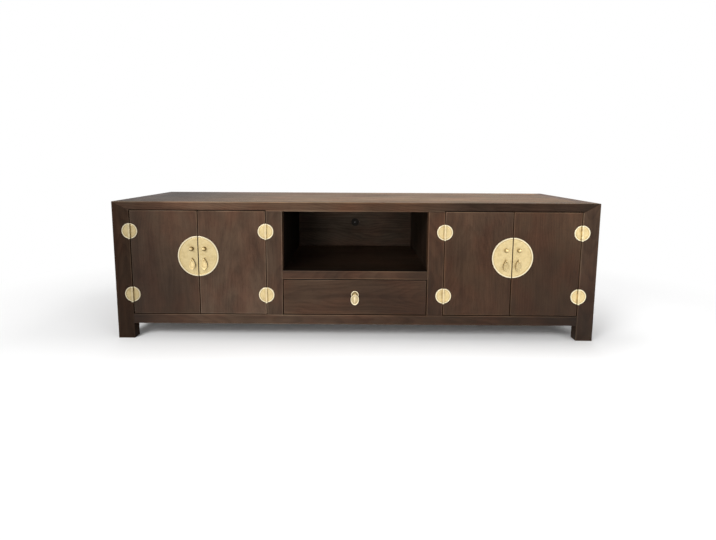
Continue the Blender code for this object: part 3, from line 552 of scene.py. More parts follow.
def stained_wood(name, box, grain, wood, look):
    """A stained board: rings round a tilted pith, fibres, pores, soft clouds of stain and worn edges,
    with painted light and shade in its tones.
    """
    spread = random.Random(name)
    finish = Finish(bpy.data.materials.new(name))
    place = finish.place()
    along_axis, across_axis, deep_axis = (AXES.index(axis) for axis in grain)
    along, across, deep = place[along_axis], place[across_axis], place[deep_axis]
    low, high = Vector(box[0]), Vector(box[1])
    size = high - low

    def toned(stops, share):
        return finish.ramp(share, [(where, warmed(*tone)) for where, *tone in stops])

    # Tones along the grain and across it: stain, and painted light and shade
    along_share = (along - low[along_axis]) / size[along_axis]
    tone = toned(look.tones, along_share)
    if look.across:
        across_share = (across - low[across_axis]) / size[across_axis]
        tone = finish.multiply(tone, toned(look.across, across_share))
    # A top face's own tones: painted shade in the gaps above the fronts, and painted light on the top
    if look.top:
        on_top = finish.ease(place[2], high.z - 0.0012, high.z - 0.0004)
        tone = finish.mix(on_top, tone, toned(look.top, along_share))
    # A front face's own tones: painted shade and light in the niche on the back panel
    if look.front:
        in_front = finish.ease(place[1], low.y + size.y * 0.4, low.y + size.y * 0.6, 1.0, 0.0)
        tone = finish.mix(in_front, tone, toned(look.front, along_share))
    if look.stave:
        staves = across / look.stave + spread.random()
        luck = finish.chance(staves.math("FLOOR", staves))
        along = along + luck * 7.0
        across = across + luck * 0.31
        lot = 0.88 + luck * 0.24
        tone = finish.multiply(tone, finish.point(lot, lot, lot))
    shift = [spread.uniform(-40.0, 40.0) for _ in range(3)]
    pith_across = (low[across_axis] + high[across_axis]) / 2
    pith_across += (high[across_axis] - low[across_axis]) * spread.uniform(-0.3, 0.3)
    pith_deep = (low[deep_axis] + high[deep_axis]) / 2 + spread.uniform(0.035, 0.075)
    lean = spread.choice((-1, 1)) * spread.uniform(0.05, 0.12)

    def grained(along_scale, girth_scale, first, second, third):
        """A point for noise that is drawn out along the grain, with the shifts in an order of its own."""
        return finish.point(
            along * along_scale + shift[first], across * girth_scale + shift[second],
            deep * girth_scale + shift[third])

    drift = finish.noise(grained(1.7, 5, 0, 1, 2), detail=3.0)
    from_pith = ((across - pith_across) ** 2.0 + (deep - pith_deep + along * lean) ** 2.0) ** 0.5
    growth = (from_pith + (drift - 0.5) * 0.11) / wood.ring_spacing
    phase = growth.math("FRACT", growth)
    late = finish.ease(phase, 0.20, 0.85) * finish.ease(phase, 0.88, 1.0, 1.0, 0.0)

    fibres = finish.noise(grained(11, 430, 1, 2, 0), detail=3.0, roughness=0.6)
    streaks = finish.noise(grained(2.2, 55, 2, 0, 1), detail=3.0, roughness=0.6)
    pores = finish.ease(finish.noise(grained(55, 1500, 0, 1, 2), detail=1.0), 0.60, 0.70)
    clouds = finish.noise(grained(4.5, 11, 1, 0, 2), detail=4.0, roughness=0.55)
    blush = finish.ease(finish.noise(grained(7, 13, 2, 1, 0), detail=2.0), 0.35, 0.7)
    flame_along = along * 13 + across * 9 + shift[2]
    flame_across = across * 27 - along * 5 + shift[1]
    flames = finish.noise(finish.point(flame_along, flame_across, shift[0]), detail=3.0)

    dark, light, dull = wood.stain_dark, wood.stain_light, 0.0
    if look.inside:
        dark, light, dull = wood.inner_dark, wood.inner_light, 0.14
    shade = 0.50 + (clouds - 0.5) * 0.66 + (streaks - 0.5) * look.streak + (fibres - 0.5) * 0.30
    shade = shade + (flames - 0.5) * look.flame - late * look.rings - pores * 0.20
    stain = finish.mix(finish.ease(shade, 0.0, 1.0), dark, light)
    # Lighter worn edges: real wear, and on the top front rail a painted highlight along the arris
    ragged = edge_distance(place, box) + (fibres - 0.5) * wood.wear_reach * 0.5
    rubbed = finish.ease(ragged, 0.0, wood.wear_reach, 1.0, 0.0) * finish.ease(clouds, 0.3, 0.7, 0.2, 0.7)
    wear_and_highlight_end = look.wear if look.wear_and_highlight_end is None else look.wear_and_highlight_end
    rubbed = rubbed * finish.ease(along_share, 0.3, 0.7, look.wear, wear_and_highlight_end)
    colour = finish.mix(rubbed, stain, wood.worn_and_highlit_edge)
    colour = finish.multiply(colour, finish.mix(blush, COOL_BLUSH, WARM_BLUSH))
    relief = fibres * 0.35 - pores * 0.8 - late * 0.25
    return finish.shade({
        "Base Color": finish.multiply(colour, tone),
        "Roughness": wood.satin + dull + (0.5 - clouds) * 0.16 + pores * 0.18 - rubbed * 0.05,
        "Specular IOR Level": wood.gloss * look.gloss,
        "Normal": finish.bump(relief, 0.00012),
    })


def board_mesh(node, arris):
    """A copy of a packed board, welded, with flat faces made whole and its long edges eased."""
    bm = bmesh.new()
    bm.from_mesh(frame["nodes"][node].data)
    bmesh.ops.remove_doubles(bm, verts=bm.verts[:], dist=BOARD_WELD)
    bmesh.ops.dissolve_limit(bm, angle_limit=FLAT_ANGLE, verts=bm.verts[:], edges=bm.edges[:])
    face_out(bm)
    edges = [
        edge for edge in bm.edges
        if edge.is_manifold and edge.is_convex and edge.calc_face_angle() > SHARP_ANGLE
        and edge.calc_length() > SHORT_EDGE
    ]
    bmesh.ops.bevel(
        bm, geom=edges, offset=arris, offset_type="OFFSET", segments=2, profile=0.5,
        affect="EDGES", clamp_overlap=False)
    drop_slivers(bm)
    for face in bm.faces:
        longest = max(edge.calc_length() for edge in face.edges)
        face.smooth = face.calc_area() < EASED_WIDTH * longest
    for edge in bm.edges:
        edge.smooth = edge.calc_face_angle(math.pi) < SHARP_ANGLE
    return mesh_of(bm, node + "_board")


def dress_board(node, grain, look):
    """Gives a packed board eased edges and its own stain, with painted light and shade in its tones."""
    wood = bpy.context.scene.cabinet_wood
    material = stained_wood(node + "_stain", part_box(node), grain, wood, look)
    mesh = board_mesh(node, wood.arris)
    put_piece(node + "_board", mesh, (0, 0, 0), node, material, sharp=0.0)


def brass(name, radius=0.0, rim=0.0, barrel=0.0, lit=None, under=0.0, soot_and_shade=0.9, shine=0.0,
          tone=1.0, colour=None):
    """Satin brass with soft spots of tarnish.

    A round plate has a polished rim, and a hinge leaf is darker beside its barrel, as tarnish and painted
    shade in the crease. Where lit gives two heights, the piece is darker below them, as grime and painted
    shade, also under its middle, as painted shade, and may shine above them.
    """
    settings = bpy.context.scene.cabinet_brass
    spread = random.Random(name)
    finish = Finish(bpy.data.materials.new(name))
    x, y, z = finish.place()
    point = finish.point(x + spread.random(), y + spread.random(), z + spread.random())
    body = tinted(colour or settings.body, tone)
    polished, tarnish = tinted(settings.polished, tone), tinted(settings.tarnish, tone)
    clouds = finish.noise(point, 55.0, 3.0, 0.6)
    spots = finish.noise(point, 260.0, 2.0, 0.55)
    scuffs = finish.noise(finish.point(x * 900, y * 900, z * 2400), 1.0, 2.0)
    dull = finish.ease(clouds * 0.65 + spots * 0.35, 0.42, 0.66)
    skin = finish.mix(dull * 0.42, body, tarnish)
    skin = finish.mix(finish.ease(spots, 0.5, 0.72) * 0.28, skin, polished)
    roughness = settings.satin + dull * 0.12 + (scuffs - 0.5) * 0.10
    if rim:
        from_middle = (x ** 2.0 + z ** 2.0) ** 0.5
        on_rim = finish.ease(from_middle, radius - rim * 1.05, radius - rim * 0.70)
        groove = finish.ease(from_middle, radius - rim * 1.6, radius - rim * 1.25) * (1 - on_rim)
        skin = finish.mix(groove * 0.55, skin, tarnish)
        skin = finish.mix(on_rim * 0.75, skin, polished)
        roughness = roughness - on_rim * 0.08
    if barrel:
        # Darker beside the barrel: tarnish and painted shade in the crease
        beside = finish.ease(x.math("ABSOLUTE", x), barrel * 1.05, barrel * 1.9, 1.0, 0.0)
        raised = finish.ease(0.0 - y, -barrel * 0.3, barrel * 0.5)
        skin = finish.mix(beside * 0.35 * (1 - raised), skin, tarnish)
        skin = finish.mix(raised * 0.3, skin, polished)
    if lit:
        # Darker near the plate as grime and painted shade, and under the middle as painted shade
        low = finish.ease(0.0 - y, lit[0], lit[1], 1.0, 0.0)
        if under:
            low = low.most(finish.ease(z, -under, under * 0.3, 0.85, 0.0))
        skin = finish.mix(low * soot_and_shade, skin, settings.grime_and_shade)
        if shine:
            skin = finish.mix(finish.ease(0.0 - y, lit[1] * 0.8, lit[1] * 1.3, 0.0, shine), skin, polished)
        roughness = roughness + low * 0.12
    return finish.shade({
        "Base Color": skin,
        "Metallic": 1.0,
        "Roughness": roughness,
        "Normal": finish.bump(spots * 0.6 + scuffs * 0.25, 0.00008),
    })


def rimmed_profile(radius, thickness, rim, lift):
    """Half the section of a round plate: sunk face, fine groove, raised rim with eased edges, flat back."""
    face = thickness - lift
    easing = min(RIM_EASING, rim / 4)
    inner = radius - rim
    return [
        (0.0, face),
        (inner - rim * 0.55 - GROOVE_MARGIN, face),
        (inner - rim * 0.55, face),
        (inner - rim * 0.38, face - GROOVE_DEPTH),
        (inner - rim * 0.20, face),
        *arc((inner + easing, thickness - easing), easing, 180, 90, 3),
        *arc((radius - easing, thickness - easing), easing, 90, 0, 4),
        (radius, 0.0),
        (0.0, 0.0),
    ]


def rose_profile(radius):
    """Half the section of the drawer pull's back plate: low boss, sunk face and a thick round rim."""
    half = ROSE_RIM / 2
    return [
        *dome(ROSE_BOSS, ROSE_FACE, ROSE_BOSS_RISE, 8),
        (radius - ROSE_RIM, ROSE_FACE),
        *arc((radius - half, ROSE_HEIGHT - half), half, 170, 0, 10),
        (radius, 0.0),
        (0.0, 0.0),
    ]


def stud_profile(reach):
    """Half the section of a lock stud: domed head, neck, cove and flange."""
    collar, cove_top, cove, flange_edge = 0.0052, 0.0034, 0.0018, 0.0009
    return [
        (0.0, reach),
        *arc((0.0, reach - STUD_HEAD), STUD_HEAD, 78, -38, 10),
        (STUD_NECK, reach - STUD_HEAD - collar),
        (STUD_NECK, cove_top),
        *arc((STUD_NECK + cove, cove_top), cove, 180, 260, 4),
        *arc((STUD_FLANGE - flange_edge, flange_edge), flange_edge, 80, 0, 4),
        (STUD_FLANGE, -STUD_ROOT),
        (0.0, -STUD_ROOT),
    ]


def make_staple(name, node, swing, material):
    """The wire that carries a pull: a half round bend about its axis and two legs into the plate."""
    pivot = joint_place(swing)
    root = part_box(node)[1].y - pivot.y - STAPLE_ROOT
    bend = [(0.0, y, z) for y, z in arc((0.0, 0.0), STAPLE_RADIUS, 90, 270, 14)]
    mesh = wire_mesh([(0.0, root, STAPLE_RADIUS), *bend, (0.0, root, -STAPLE_RADIUS)], STAPLE_WIRE, name)
    put_piece(name, mesh, pivot, node, material, sharp=50.0)


def pull_outline(length, width, rise, head_width, belly_drop, tip_width):
    """Points round a drop's edge: a narrow head, a belly and a rounded tip."""
    tip_rise = (length - belly_drop) / 4
    half = [(head_width / 2, -STAPLE_RADIUS), (width / 2, -belly_drop), (tip_width / 2, tip_rise - length)]
    knots = [(0.0, rise), *half, (0.0, -length), *((-x, z) for x, z in reversed(half))]
    curve = bpy.data.curves.new("drop", "CURVE")
    curve.resolution_u = 14
    spline = curve.splines.new("BEZIER")
    spline.bezier_points.add(len(knots) - 1)
    spline.use_cyclic_u = True
    for knot, place in zip(spline.bezier_points, knots):
        knot.co = (*place, 0.0)
        knot.handle_left_type = knot.handle_right_type = "AUTO"
    return [(vertex.co.x, vertex.co.y) for vertex in curve_mesh(curve).vertices]


def pull_height(x, z, ring, level, centre_z):
    """How far the front of a drop stands out at a point, as a share of half its thickness."""
    if ring < 0.80:
        rib = 0.42 * math.exp(-((x / RIB_WIDTH) ** 2))
        wave = math.cos(math.tau * (z - centre_z + 0.8 * abs(x)) / VEIN_SPACING)
        level += rib - 0.26 * max(0.0, wave) ** 6 * min(1.0, abs(x) / VEIN_START)
    from_hole = math.hypot(x, z + STAPLE_RADIUS)
    boss = min(1.0, max(0.0, (EYE_RADIUS - from_hole) / EYE_SLOPE))
    return min(1.0, max(level, 0.95 * boss))


def pull_mesh(length, width, rise, thickness, head_width, belly_drop, tip_width):
    """A cast drop: round edge, raised rim, dished face with a rib and veins, and a hole in its head.

    Its rings are a share of the outline's size and of half the thickness.
    """
    outline = pull_outline(length, width, rise, head_width, belly_drop, tip_width)
    centre_z = -belly_drop * 0.8
    front = [
        (1.0, 0.0), (0.985, 0.62), (0.955, 0.92), (0.915, 1.0), (0.87, 0.94), (0.83, 0.55), (0.80, 0.36),
        *((0.76 - 0.05 * step, 0.34 + 0.02 * step) for step in range(15)),
    ]
    back = [(0.985, -0.62), (0.95, -0.92), (0.88, -1.0), (0.4, -1.0)]
    bm = bmesh.new()

    def lay_ring(ring, level, is_front):
        points = []
        for x, z in outline:
            x, z = x * ring, centre_z + (z - centre_z) * ring
            height = pull_height(x, z, ring, level, centre_z) if is_front and ring < 0.97 else level
            points.append(bm.verts.new((x, -height * thickness / 2, z)))
        return points

    def join_rings(rings):
        for outer, nearer in zip(rings, rings[1:]):
            for index in range(len(outline)):
                after = (index + 1) % len(outline)
                bm.faces.new((outer[index], outer[after], nearer[after], nearer[index]))
        bm.faces.new(rings[-1])

    front_rings = [lay_ring(ring, level, True) for ring, level in front]
    join_rings(front_rings)
    join_rings([front_rings[0]] + [lay_ring(ring, level, False) for ring, level in back])
    face_out(bm)
    hole = turned([(0.0, 0.004), (PULL_HOLE, 0.004), (PULL_HOLE, -0.004), (0.0, -0.004)], ROUND_SIDES)
    bmesh.ops.translate(hole, vec=(0.0, 0.0, -STAPLE_RADIUS), verts=hole.verts[:])
    return fused(bm, [([hole], "DIFFERENCE")])


def make_pull(name, node, swing, shape, material):
    """A drop that hangs from its staple."""
    low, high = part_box(node)
    pivot = joint_place(swing)
    mesh = pull_mesh(pivot.z - low.z, high.x - low.x, high.z - pivot.z, high.y - low.y, *shape)
    put_piece(name, mesh, pivot, node, material, sharp=42.0)


class CABINET_OT_finish_frame(Operator):
    """Ease and stain the posts, rails, stiles, niche shelf, top and side panels, with painted light and
    shade
    """

    bl_idname = "cabinet.finish_frame"
    bl_label = "Finish frame"

    def execute(self, context):
        # Tones set board by board to how light each looks: stain, and painted light and shade. The top and
        # its rails' tops are dark at the left end and light to the right, the top back rail's top lightest
        # at the right as a painted sheen, and the top front rail's face darkens to the right.
        top = ((0.0, 0.5, 0.8, 0.8), (0.35, 1.85, 0.8, 1.0), (0.6, 1.62, 0.8, 1.0), (1.0, 1.6, 1.0, 1.2))
        top_depth = ((0.0, 1.50), (0.30, 1.12), (1.0, 0.95))
        front_top = (
            (0.0, 0.6, 0.8, 0.8), (0.45, 1.9, 1.0, 1.2), (0.75, 1.35, 1.1, 1.3), (1.0, 1.3, 1.0, 1.2))
        back_top = (
            (0.0, 0.5, 0.8, 0.8), (0.35, 1.85, 0.8, 1.0), (0.75, 2.0, 0.8, 1.0), (1.0, 2.7, 1.0, 1.2))
        top_rail = (
            (0.0, 0.80, -0.7), (0.2, 1.55, -0.5), (0.57, 1.38, 0.2), (0.73, 0.70, -0.8), (1.0, 0.62, -1.0))
        middle_rail = ((0.0, 0.85, 0.1), (0.28, 0.75, 0.3), (0.6, 1.18, 0.7), (1.0, 0.62, 0.8))
        bottom_rail = (
            (0.0, 0.29), (0.2, 1.2), (0.4, 1.1), (0.6, 0.80, 0.6), (0.78, 0.64, 0.9), (1.0, 0.34, 0.4))
        # The niche shelf is dark as painted shade in the niche, and lighter towards the back
        shelf_depth = ((0.0, 0.50, 0.8), (0.3, 1.0), (0.6, 1.3), (1.0, 4.6))
        # The top front rail's strong worn arris, fading to the right, is wear and a painted highlight
        top_front = Look(top_rail, top=front_top, gloss=0.3, wear=1.7, wear_and_highlight_end=0.4)
        dress_board("top_panel", TABLE, Look(top, top_depth, stave=0.118, gloss=0.3))
        dress_board("niche_shelf", TABLE, Look(fade(0.30, 0.46), shelf_depth, stave=0.130))
        dress_board("top_front_rail", TABLE, top_front)
        dress_board("top_back_rail", TABLE, Look(even(1.0), top=back_top, gloss=0.4))
        # The middle rail's top face is darkened as painted shade in the gap above it
        dress_board("middle_rail", LYING, Look(middle_rail, top=even(0.12)))
        dress_board("bottom_front_rail", LYING, Look(bottom_rail))
        dress_board("bottom_back_rail", LYING, Look(even(0.9)))
        # The left top rail's top darker and the right one's lighter: painted light and shade
        dress_board("top_left_rail", SIDE_TABLE, Look(even(0.9), top=even(0.60, 0.6), gloss=0.3))
        dress_board("top_right_rail", SIDE_TABLE, Look(even(0.9), top=even(1.3, 0.6), gloss=0.3))
        for side in SIDES:
            dress_board(f"bottom_{side}_rail", SIDE_LYING, Look(even(0.8)))
            dress_board(f"{side}_side_panel", SIDE_UPRIGHT, Look(even(0.9), stave=0.105))
            dress_board(f"back_{side}_post", UPRIGHT, Look(fade(0.7, 0.8)))
        dress_board("front_left_post", UPRIGHT, Look(fade(0.33, 0.44, 0.6), gloss=0.4))
        dress_board("front_right_post", UPRIGHT, Look(fade(0.45, 1.15, 0.4)))
        dress_board("left_stile", UPRIGHT, Look(fade(0.95, 0.90)))
        dress_board("right_stile", UPRIGHT, Look(fade(0.54, 1.10, 0.9)))
        return {"FINISHED"}


class CABINET_OT_finish_fronts(Operator):
    """Ease and stain the doors and the drawer front, with painted light and shade in their tones"""

    bl_idname = "cabinet.finish_fronts"
    bl_label = "Finish doors and drawer front"

    def execute(self, context):
        # Tones set door by door to how light each front looks: stain, and painted light and shade
        left_inner = ((0.0, 1.22, -0.5), (0.45, 1.10), (1.0, 1.27, 0.2))
        right_inner = ((0.0, 0.86, 1.0), (0.4, 0.84, 1.3), (1.0, 1.10, 0.5))
        right_outer = ((0.0, 0.68, 1.0), (0.45, 0.71, 1.2), (1.0, 1.05, 1.0))
        looks = {
            "left_outer": Look(fade(0.55, 0.82, 0.2), fade(0.80, 1.30), flame=0.35),
            "left_inner": Look(left_inner, fade(0.94, 1.08), flame=0.50),
            "right_inner": Look(right_inner, flame=0.30),
            "right_outer": Look(right_outer, flame=0.25),
        }
        for door, look in looks.items():
            # Each door's top face is darkened as painted shade in the gap above it
            look.top, look.rings, look.streak = even(0.4), 0.06, 0.32
            dress_board(f"{door}_door", UPRIGHT, look)
        # The drawer front's top face is darkened as painted shade in the gap above it
        drawer = Look(((0.0, 0.87, 0.6), (1.0, 0.71, 1.0)), top=even(0.15))
        drawer.rings, drawer.flame, drawer.streak, drawer.wear = 0.10, 0.1, 0.7, 0.4
        dress_board("drawer_front", LYING, drawer)
        return {"FINISHED"}


class CABINET_OT_finish_inside(Operator):
    """Stain the back, bottom, partitions, battens and drawer box, with painted shade in the niche,
    and line the cable hole with dark felt that stands in for its shade
    """

    bl_idname = "cabinet.finish_inside"
    bl_label = "Finish inside"

    def execute(self, context):
        # Painted shade in the niche: its back darker at the left and lighter to the right, its right wall
        # darkened
        niche_back = ((0.32, 0.9), (0.34, 0.70, -1.5), (0.55, 1.12, -1.5), (0.66, 0.9, -1.5), (0.68, 0.9))
        niche_wall = ((0.0, 0.26, -0.5), (1.0, 0.48, -1.5))
        dress_board("back_panel", LYING, inner_look(even(1.1), front=niche_back, stave=0.137))
        dress_board("bottom_board", TABLE, inner_look(even(0.9), stave=0.102))
        # The niche's left wall is near black as painted shade
        dress_board("left_partition", SIDE_UPRIGHT, inner_look(even(0.07), stave=0.1))
        dress_board("right_partition", SIDE_UPRIGHT, inner_look(even(1.0), niche_wall, stave=0.1))
        for side in SIDES:
            dress_board(f"{side}_top_batten", SIDE_TABLE, inner_look(even(0.95)))
            dress_board(f"drawer_{side}_side", SIDE_LYING, inner_look(even(1.2)))
        dress_board("drawer_back", LYING, inner_look(even(1.2)))
        dress_board("drawer_bottom", TABLE, inner_look(even(1.15), stave=0.13))
        self.line_cable_hole()
        return {"FINISHED"}

    def line_cable_hole(self):
        """Dark felt flaps that close the cable hole in the back and let a cable through, standing in for
        its shade.
        """
        low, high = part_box("back_panel")
        place = Vector((0.0, (low.y + high.y) / 2, CABLE_HOLE_Z))
        bm = bmesh.new()
        for layer in (0.0, 1.0):
            for flap in range(FELT_FLAPS):
                start = 360.0 * (flap + layer / 2) / FELT_FLAPS
                end = start + 360.0 / FELT_FLAPS
                rim = arc((0.0, 0.0), CABLE_HOLE_RADIUS, start + FELT_SLIT, end - FELT_SLIT, 6)
                middle = math.radians((start + end) / 2)
                tip = (FELT_TIP * math.cos(middle), FELT_TIP * math.sin(middle))
                face = bm.faces.new([bm.verts.new((x, FELT_STEP * layer, z)) for x, z in (tip, *rim)])
                grown = bmesh.ops.extrude_face_region(bm, geom=[face])
                moved = of_kind(grown["geom"], bmesh.types.BMVert)
                bmesh.ops.translate(bm, vec=OUT * FELT_THICKNESS, verts=moved)
        face_out(bm)
        # The felt is near black, standing in for the shade seen through the hole
        finish = Finish(bpy.data.materials.new("cable_felt"))
        fluff = finish.noise(finish.point(*finish.place()), 1400.0, 3.0)
        shade_felt = finish.shade({
            "Base Color": finish.mix(fluff, (0.012, 0.0105, 0.009), (0.036, 0.031, 0.027)),
            "Roughness": 0.95,
            "Specular IOR Level": 0.1,
            "Normal": finish.bump(fluff, 0.0004),
        })
        mesh = mesh_of(bm, "shade_felt")
        put_piece("cable_hole_felt", mesh, place, "back_panel", shade_felt, stands_in=False)


class CABINET_OT_make_lock_plates(Operator):
    """Make the split round lock plates with their studs and staples"""

    bl_idname = "cabinet.make_lock_plates"
    bl_label = "Make lock plates"

    def execute(self, context):
        settings = context.scene.cabinet_brass
        for side in SIDES:
            doors = (f"{side}_outer", f"{side}_inner")
            pair = sorted(doors, key=lambda door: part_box(f"{door}_lock_plate")[0].x)
            left, right = (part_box(f"{door}_lock_plate") for door in pair)
            middle_x = (left[1].x + right[0].x) / 2
            radius = right[1].x - middle_x
            self.make_half(settings, pair[0], LEFTWARD, middle_x, left[1].x - middle_x, radius)
            self.make_half(settings, pair[1], RIGHTWARD, middle_x, right[0].x - middle_x, radius)
        return {"FINISHED"}

    def make_half(self, settings, door, side, middle_x, edge, radius):
        node = f"{door}_lock_plate"
        low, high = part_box(node)
        # How light this door's brass is: painted light and shade
        tone = PLATE_TONES[door]
        place = Vector((middle_x, high.y, (low.z + high.z) / 2))
        profile = rimmed_profile(radius, PLATE_THICKNESS, settings.rim_width, settings.rim_lift)
        plate = keep_beyond(turned(profile, settings.turned_sides), edge, side)
        skin = brass(f"{door}_plate_brass", radius, settings.rim_width, tone=tone)
        put_piece(f"{door}_plate", mesh_of(plate, node), place, node, skin)
        face = PLATE_THICKNESS - settings.rim_lift
        # Studs darker low down and underneath: grime and painted shade
        cast = brass(
            f"{door}_stud_brass", lit=(0.003, 0.010), under=0.006, soot_and_shade=STUD_SOOT_AND_SHADE[door], tone=tone)
        stud_place = place + Vector((side * STUD_ACROSS, -face, STUD_ABOVE))
        stud = mesh_of(turned(stud_profile(high.y - low.y - face), STUD_SIDES), "stud")
        put_piece(f"{door}_lock_stud", stud, stud_place, node, cast, sharp=50.0)
        # The staple darker near the plate: grime and painted shade
        wire = brass(f"{door}_staple_brass", lit=(-0.002, 0.003), tone=tone)
        make_staple(f"{door}_pull_staple", node, f"{door}_pull_swing", wire)


class CABINET_OT_make_door_pulls(Operator):
    """Make the leaf shaped drops of the doors"""

    bl_idname = "cabinet.make_door_pulls"
    bl_label = "Make door pulls"

    def execute(self, context):
        for door in DOORS:
            # Drops lighter on the left doors and darker on the right: painted light and shade
            colour = tinted(context.scene.cabinet_brass.body, PULL_TONES[door])
            cast = brass(f"{door}_pull_brass", lit=(-0.0003, 0.0008), soot_and_shade=PULL_SOOT_AND_SHADE[door], colour=colour)
            make_pull(f"{door}_drop", f"{door}_door_pull", f"{door}_pull_swing", DOOR_DROP, cast)
        return {"FINISHED"}


class CABINET_OT_make_drawer_pull(Operator):
    """Make the drawer's round back plate, staple and drop"""

    bl_idname = "cabinet.make_drawer_pull"
    bl_label = "Make drawer pull"

    def execute(self, context):
        node = "drawer_pull_plate"
        low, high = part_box(node)
        radius = (high.x - low.x) / 2
        place = Vector(((low.x + high.x) / 2, high.y, (low.z + high.z) / 2))
        plate = mesh_of(turned(rose_profile(radius), ROSE_SIDES), node)
        # The rose's sunk face is darker: grime and painted shade
        skin = brass("drawer_plate_brass", radius, ROSE_RIM, lit=(0.0009, 0.0020), soot_and_shade=0.8)
        put_piece("drawer_pull_rose", plate, place, node, skin)
        # The staple darker near the plate: grime and painted shade
        wire = brass("drawer_staple_brass", lit=(-0.002, 0.003))
        make_staple("drawer_pull_staple", node, "drawer_pull_swing", wire)
        warm = context.scene.cabinet_brass.warm
        # The drop is darker towards the plate, as grime and painted shade, and polished on its front
        cast = brass("drawer_drop_brass", lit=(0.0001, 0.0011), soot_and_shade=0.6, shine=0.9, colour=warm)
        make_pull("drawer_drop", "drawer_pull_drop", "drawer_pull_swing", DRAWER_DROP, cast)
        return {"FINISHED"}


class CABINET_OT_make_hinges(Operator):
    """Make the round hinges: leaves with knuckles, pins and nails"""

    bl_idname = "cabinet.make_hinges"
    bl_label = "Make hinges"

    def execute(self, context):
        settings = context.scene.cabinet_brass
        meshes = {
            (side, part): self.leaf_mesh(settings, side, part)
            for side in (LEFTWARD, RIGHTWARD) for part in ("frame", "door")
        }
        for door in DOORS:
            for level in LEVELS:
                axis = joint_place(f"{door}_door_hinge")
                # How light this door's hinges are: painted light and shade
                self.make_hinge(settings, f"{door}_{level}", axis, meshes, HINGE_TONES[door])
        return {"FINISHED"}

    def leaf_mesh(self, settings, side, part):
        """A half round leaf with its knuckles about the Z axis, bored for the pin."""
        notch_back, notch_reach, past_leaf, past_barrel, bore_easing = 0.002, 0.01, 0.04, 0.05, 0.0001
        profile = rimmed_profile(HINGE_RADIUS, LEAF_THICKNESS, HINGE_RIM, LEAF_RIM_LIFT)
        leaf = keep_beyond(turned(profile, settings.turned_sides), side * BARREL_RADIUS / 3, side)
        bmesh.ops.translate(leaf, vec=(0.0, BARREL_STANDOFF, 0.0), verts=leaf.verts[:])
        inner = BARREL_HALF / 3
        outer = inner + KNUCKLE_GAP
        if part == "frame":
            spans, rooms = [(outer, BARREL_HALF), (-BARREL_HALF, -outer)], [(-outer, outer)]
        else:
            spans, rooms = [(-inner, inner)], [(inner, past_leaf), (-past_leaf, -inner)]
        knuckles = [bar_mesh(BARREL_RADIUS, low, high, KNUCKLE_EASING, ROUND_SIDES) for low, high in spans]
        from_x, to_x = sorted((-side * notch_back, side * (BARREL_RADIUS + NOTCH_PLAY)))
        notches = [box_mesh((from_x, -notch_reach, low), (to_x, notch_reach, high)) for low, high in rooms]
        bore = bar_mesh(PIN_RADIUS + PIN_PLAY, -past_barrel, past_barrel, bore_easing, BORE_SIDES)
        return fused(leaf, [(notches, "DIFFERENCE"), (knuckles, "UNION"), ([bore], "DIFFERENCE")])

    def make_hinge(self, settings, name, axis, meshes, tone):
        frame_node, door_node = f"{name}_frame_leaf", f"{name}_door_leaf"
        low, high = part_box(frame_node)
        place = Vector((axis.x, axis.y, (low.z + high.z) / 2))
        skin = brass(f"{name}_hinge_brass", HINGE_RADIUS, HINGE_RIM, BARREL_RADIUS, tone=tone)
        side = RIGHTWARD if (low.x + high.x) / 2 > axis.x else LEFTWARD
        for part, node, toward in (("frame", frame_node, side), ("door", door_node, -side)):
            put_piece(f"{name}_{part}_plate", meshes[toward, part].copy(), place, node, skin)
            nails = self.nail_mesh(settings.nail_radius, toward)
            put_piece(f"{name}_{part}_nails", nails, place, node, skin, stands_in=False)
        pin = mesh_of(turned(self.pin_profile(), ROUND_SIDES, UP), "pin")
        put_piece(f"{name}_pin", pin, place, frame_node, skin)

    def nail_mesh(self, radius, side):
        """Three domed nail heads on a leaf."""
        bm = bmesh.new()
        profile = [*dome(radius, 0.0, NAIL_RISE, 6), (radius, -NAIL_FOOT), (0.0, -NAIL_FOOT)]
        nail = mesh_of(turned(profile, NAIL_SIDES), "nail")
        seat = BARREL_STANDOFF - LEAF_THICKNESS + NAIL_SUNK
        for angle in map(math.radians, NAIL_DEGREES):
            before = len(bm.verts)
            bm.from_mesh(nail)
            bm.verts.ensure_lookup_table()
            spot = (side * NAIL_CIRCLE * math.cos(angle), seat, NAIL_CIRCLE * math.sin(angle))
            bmesh.ops.translate(bm, vec=spot, verts=bm.verts[before:])
        return mesh_of(bm, "nails")

    def pin_profile(self):
        """Half the section of a hinge pin with a button at both ends."""
        top = [*dome(BUTTON_RADIUS, BARREL_HALF, BUTTON_RISE, 6), (PIN_RADIUS, BARREL_HALF - BUTTON_NECK)]
        return top + [(radius, -height) for radius, height in reversed(top)]


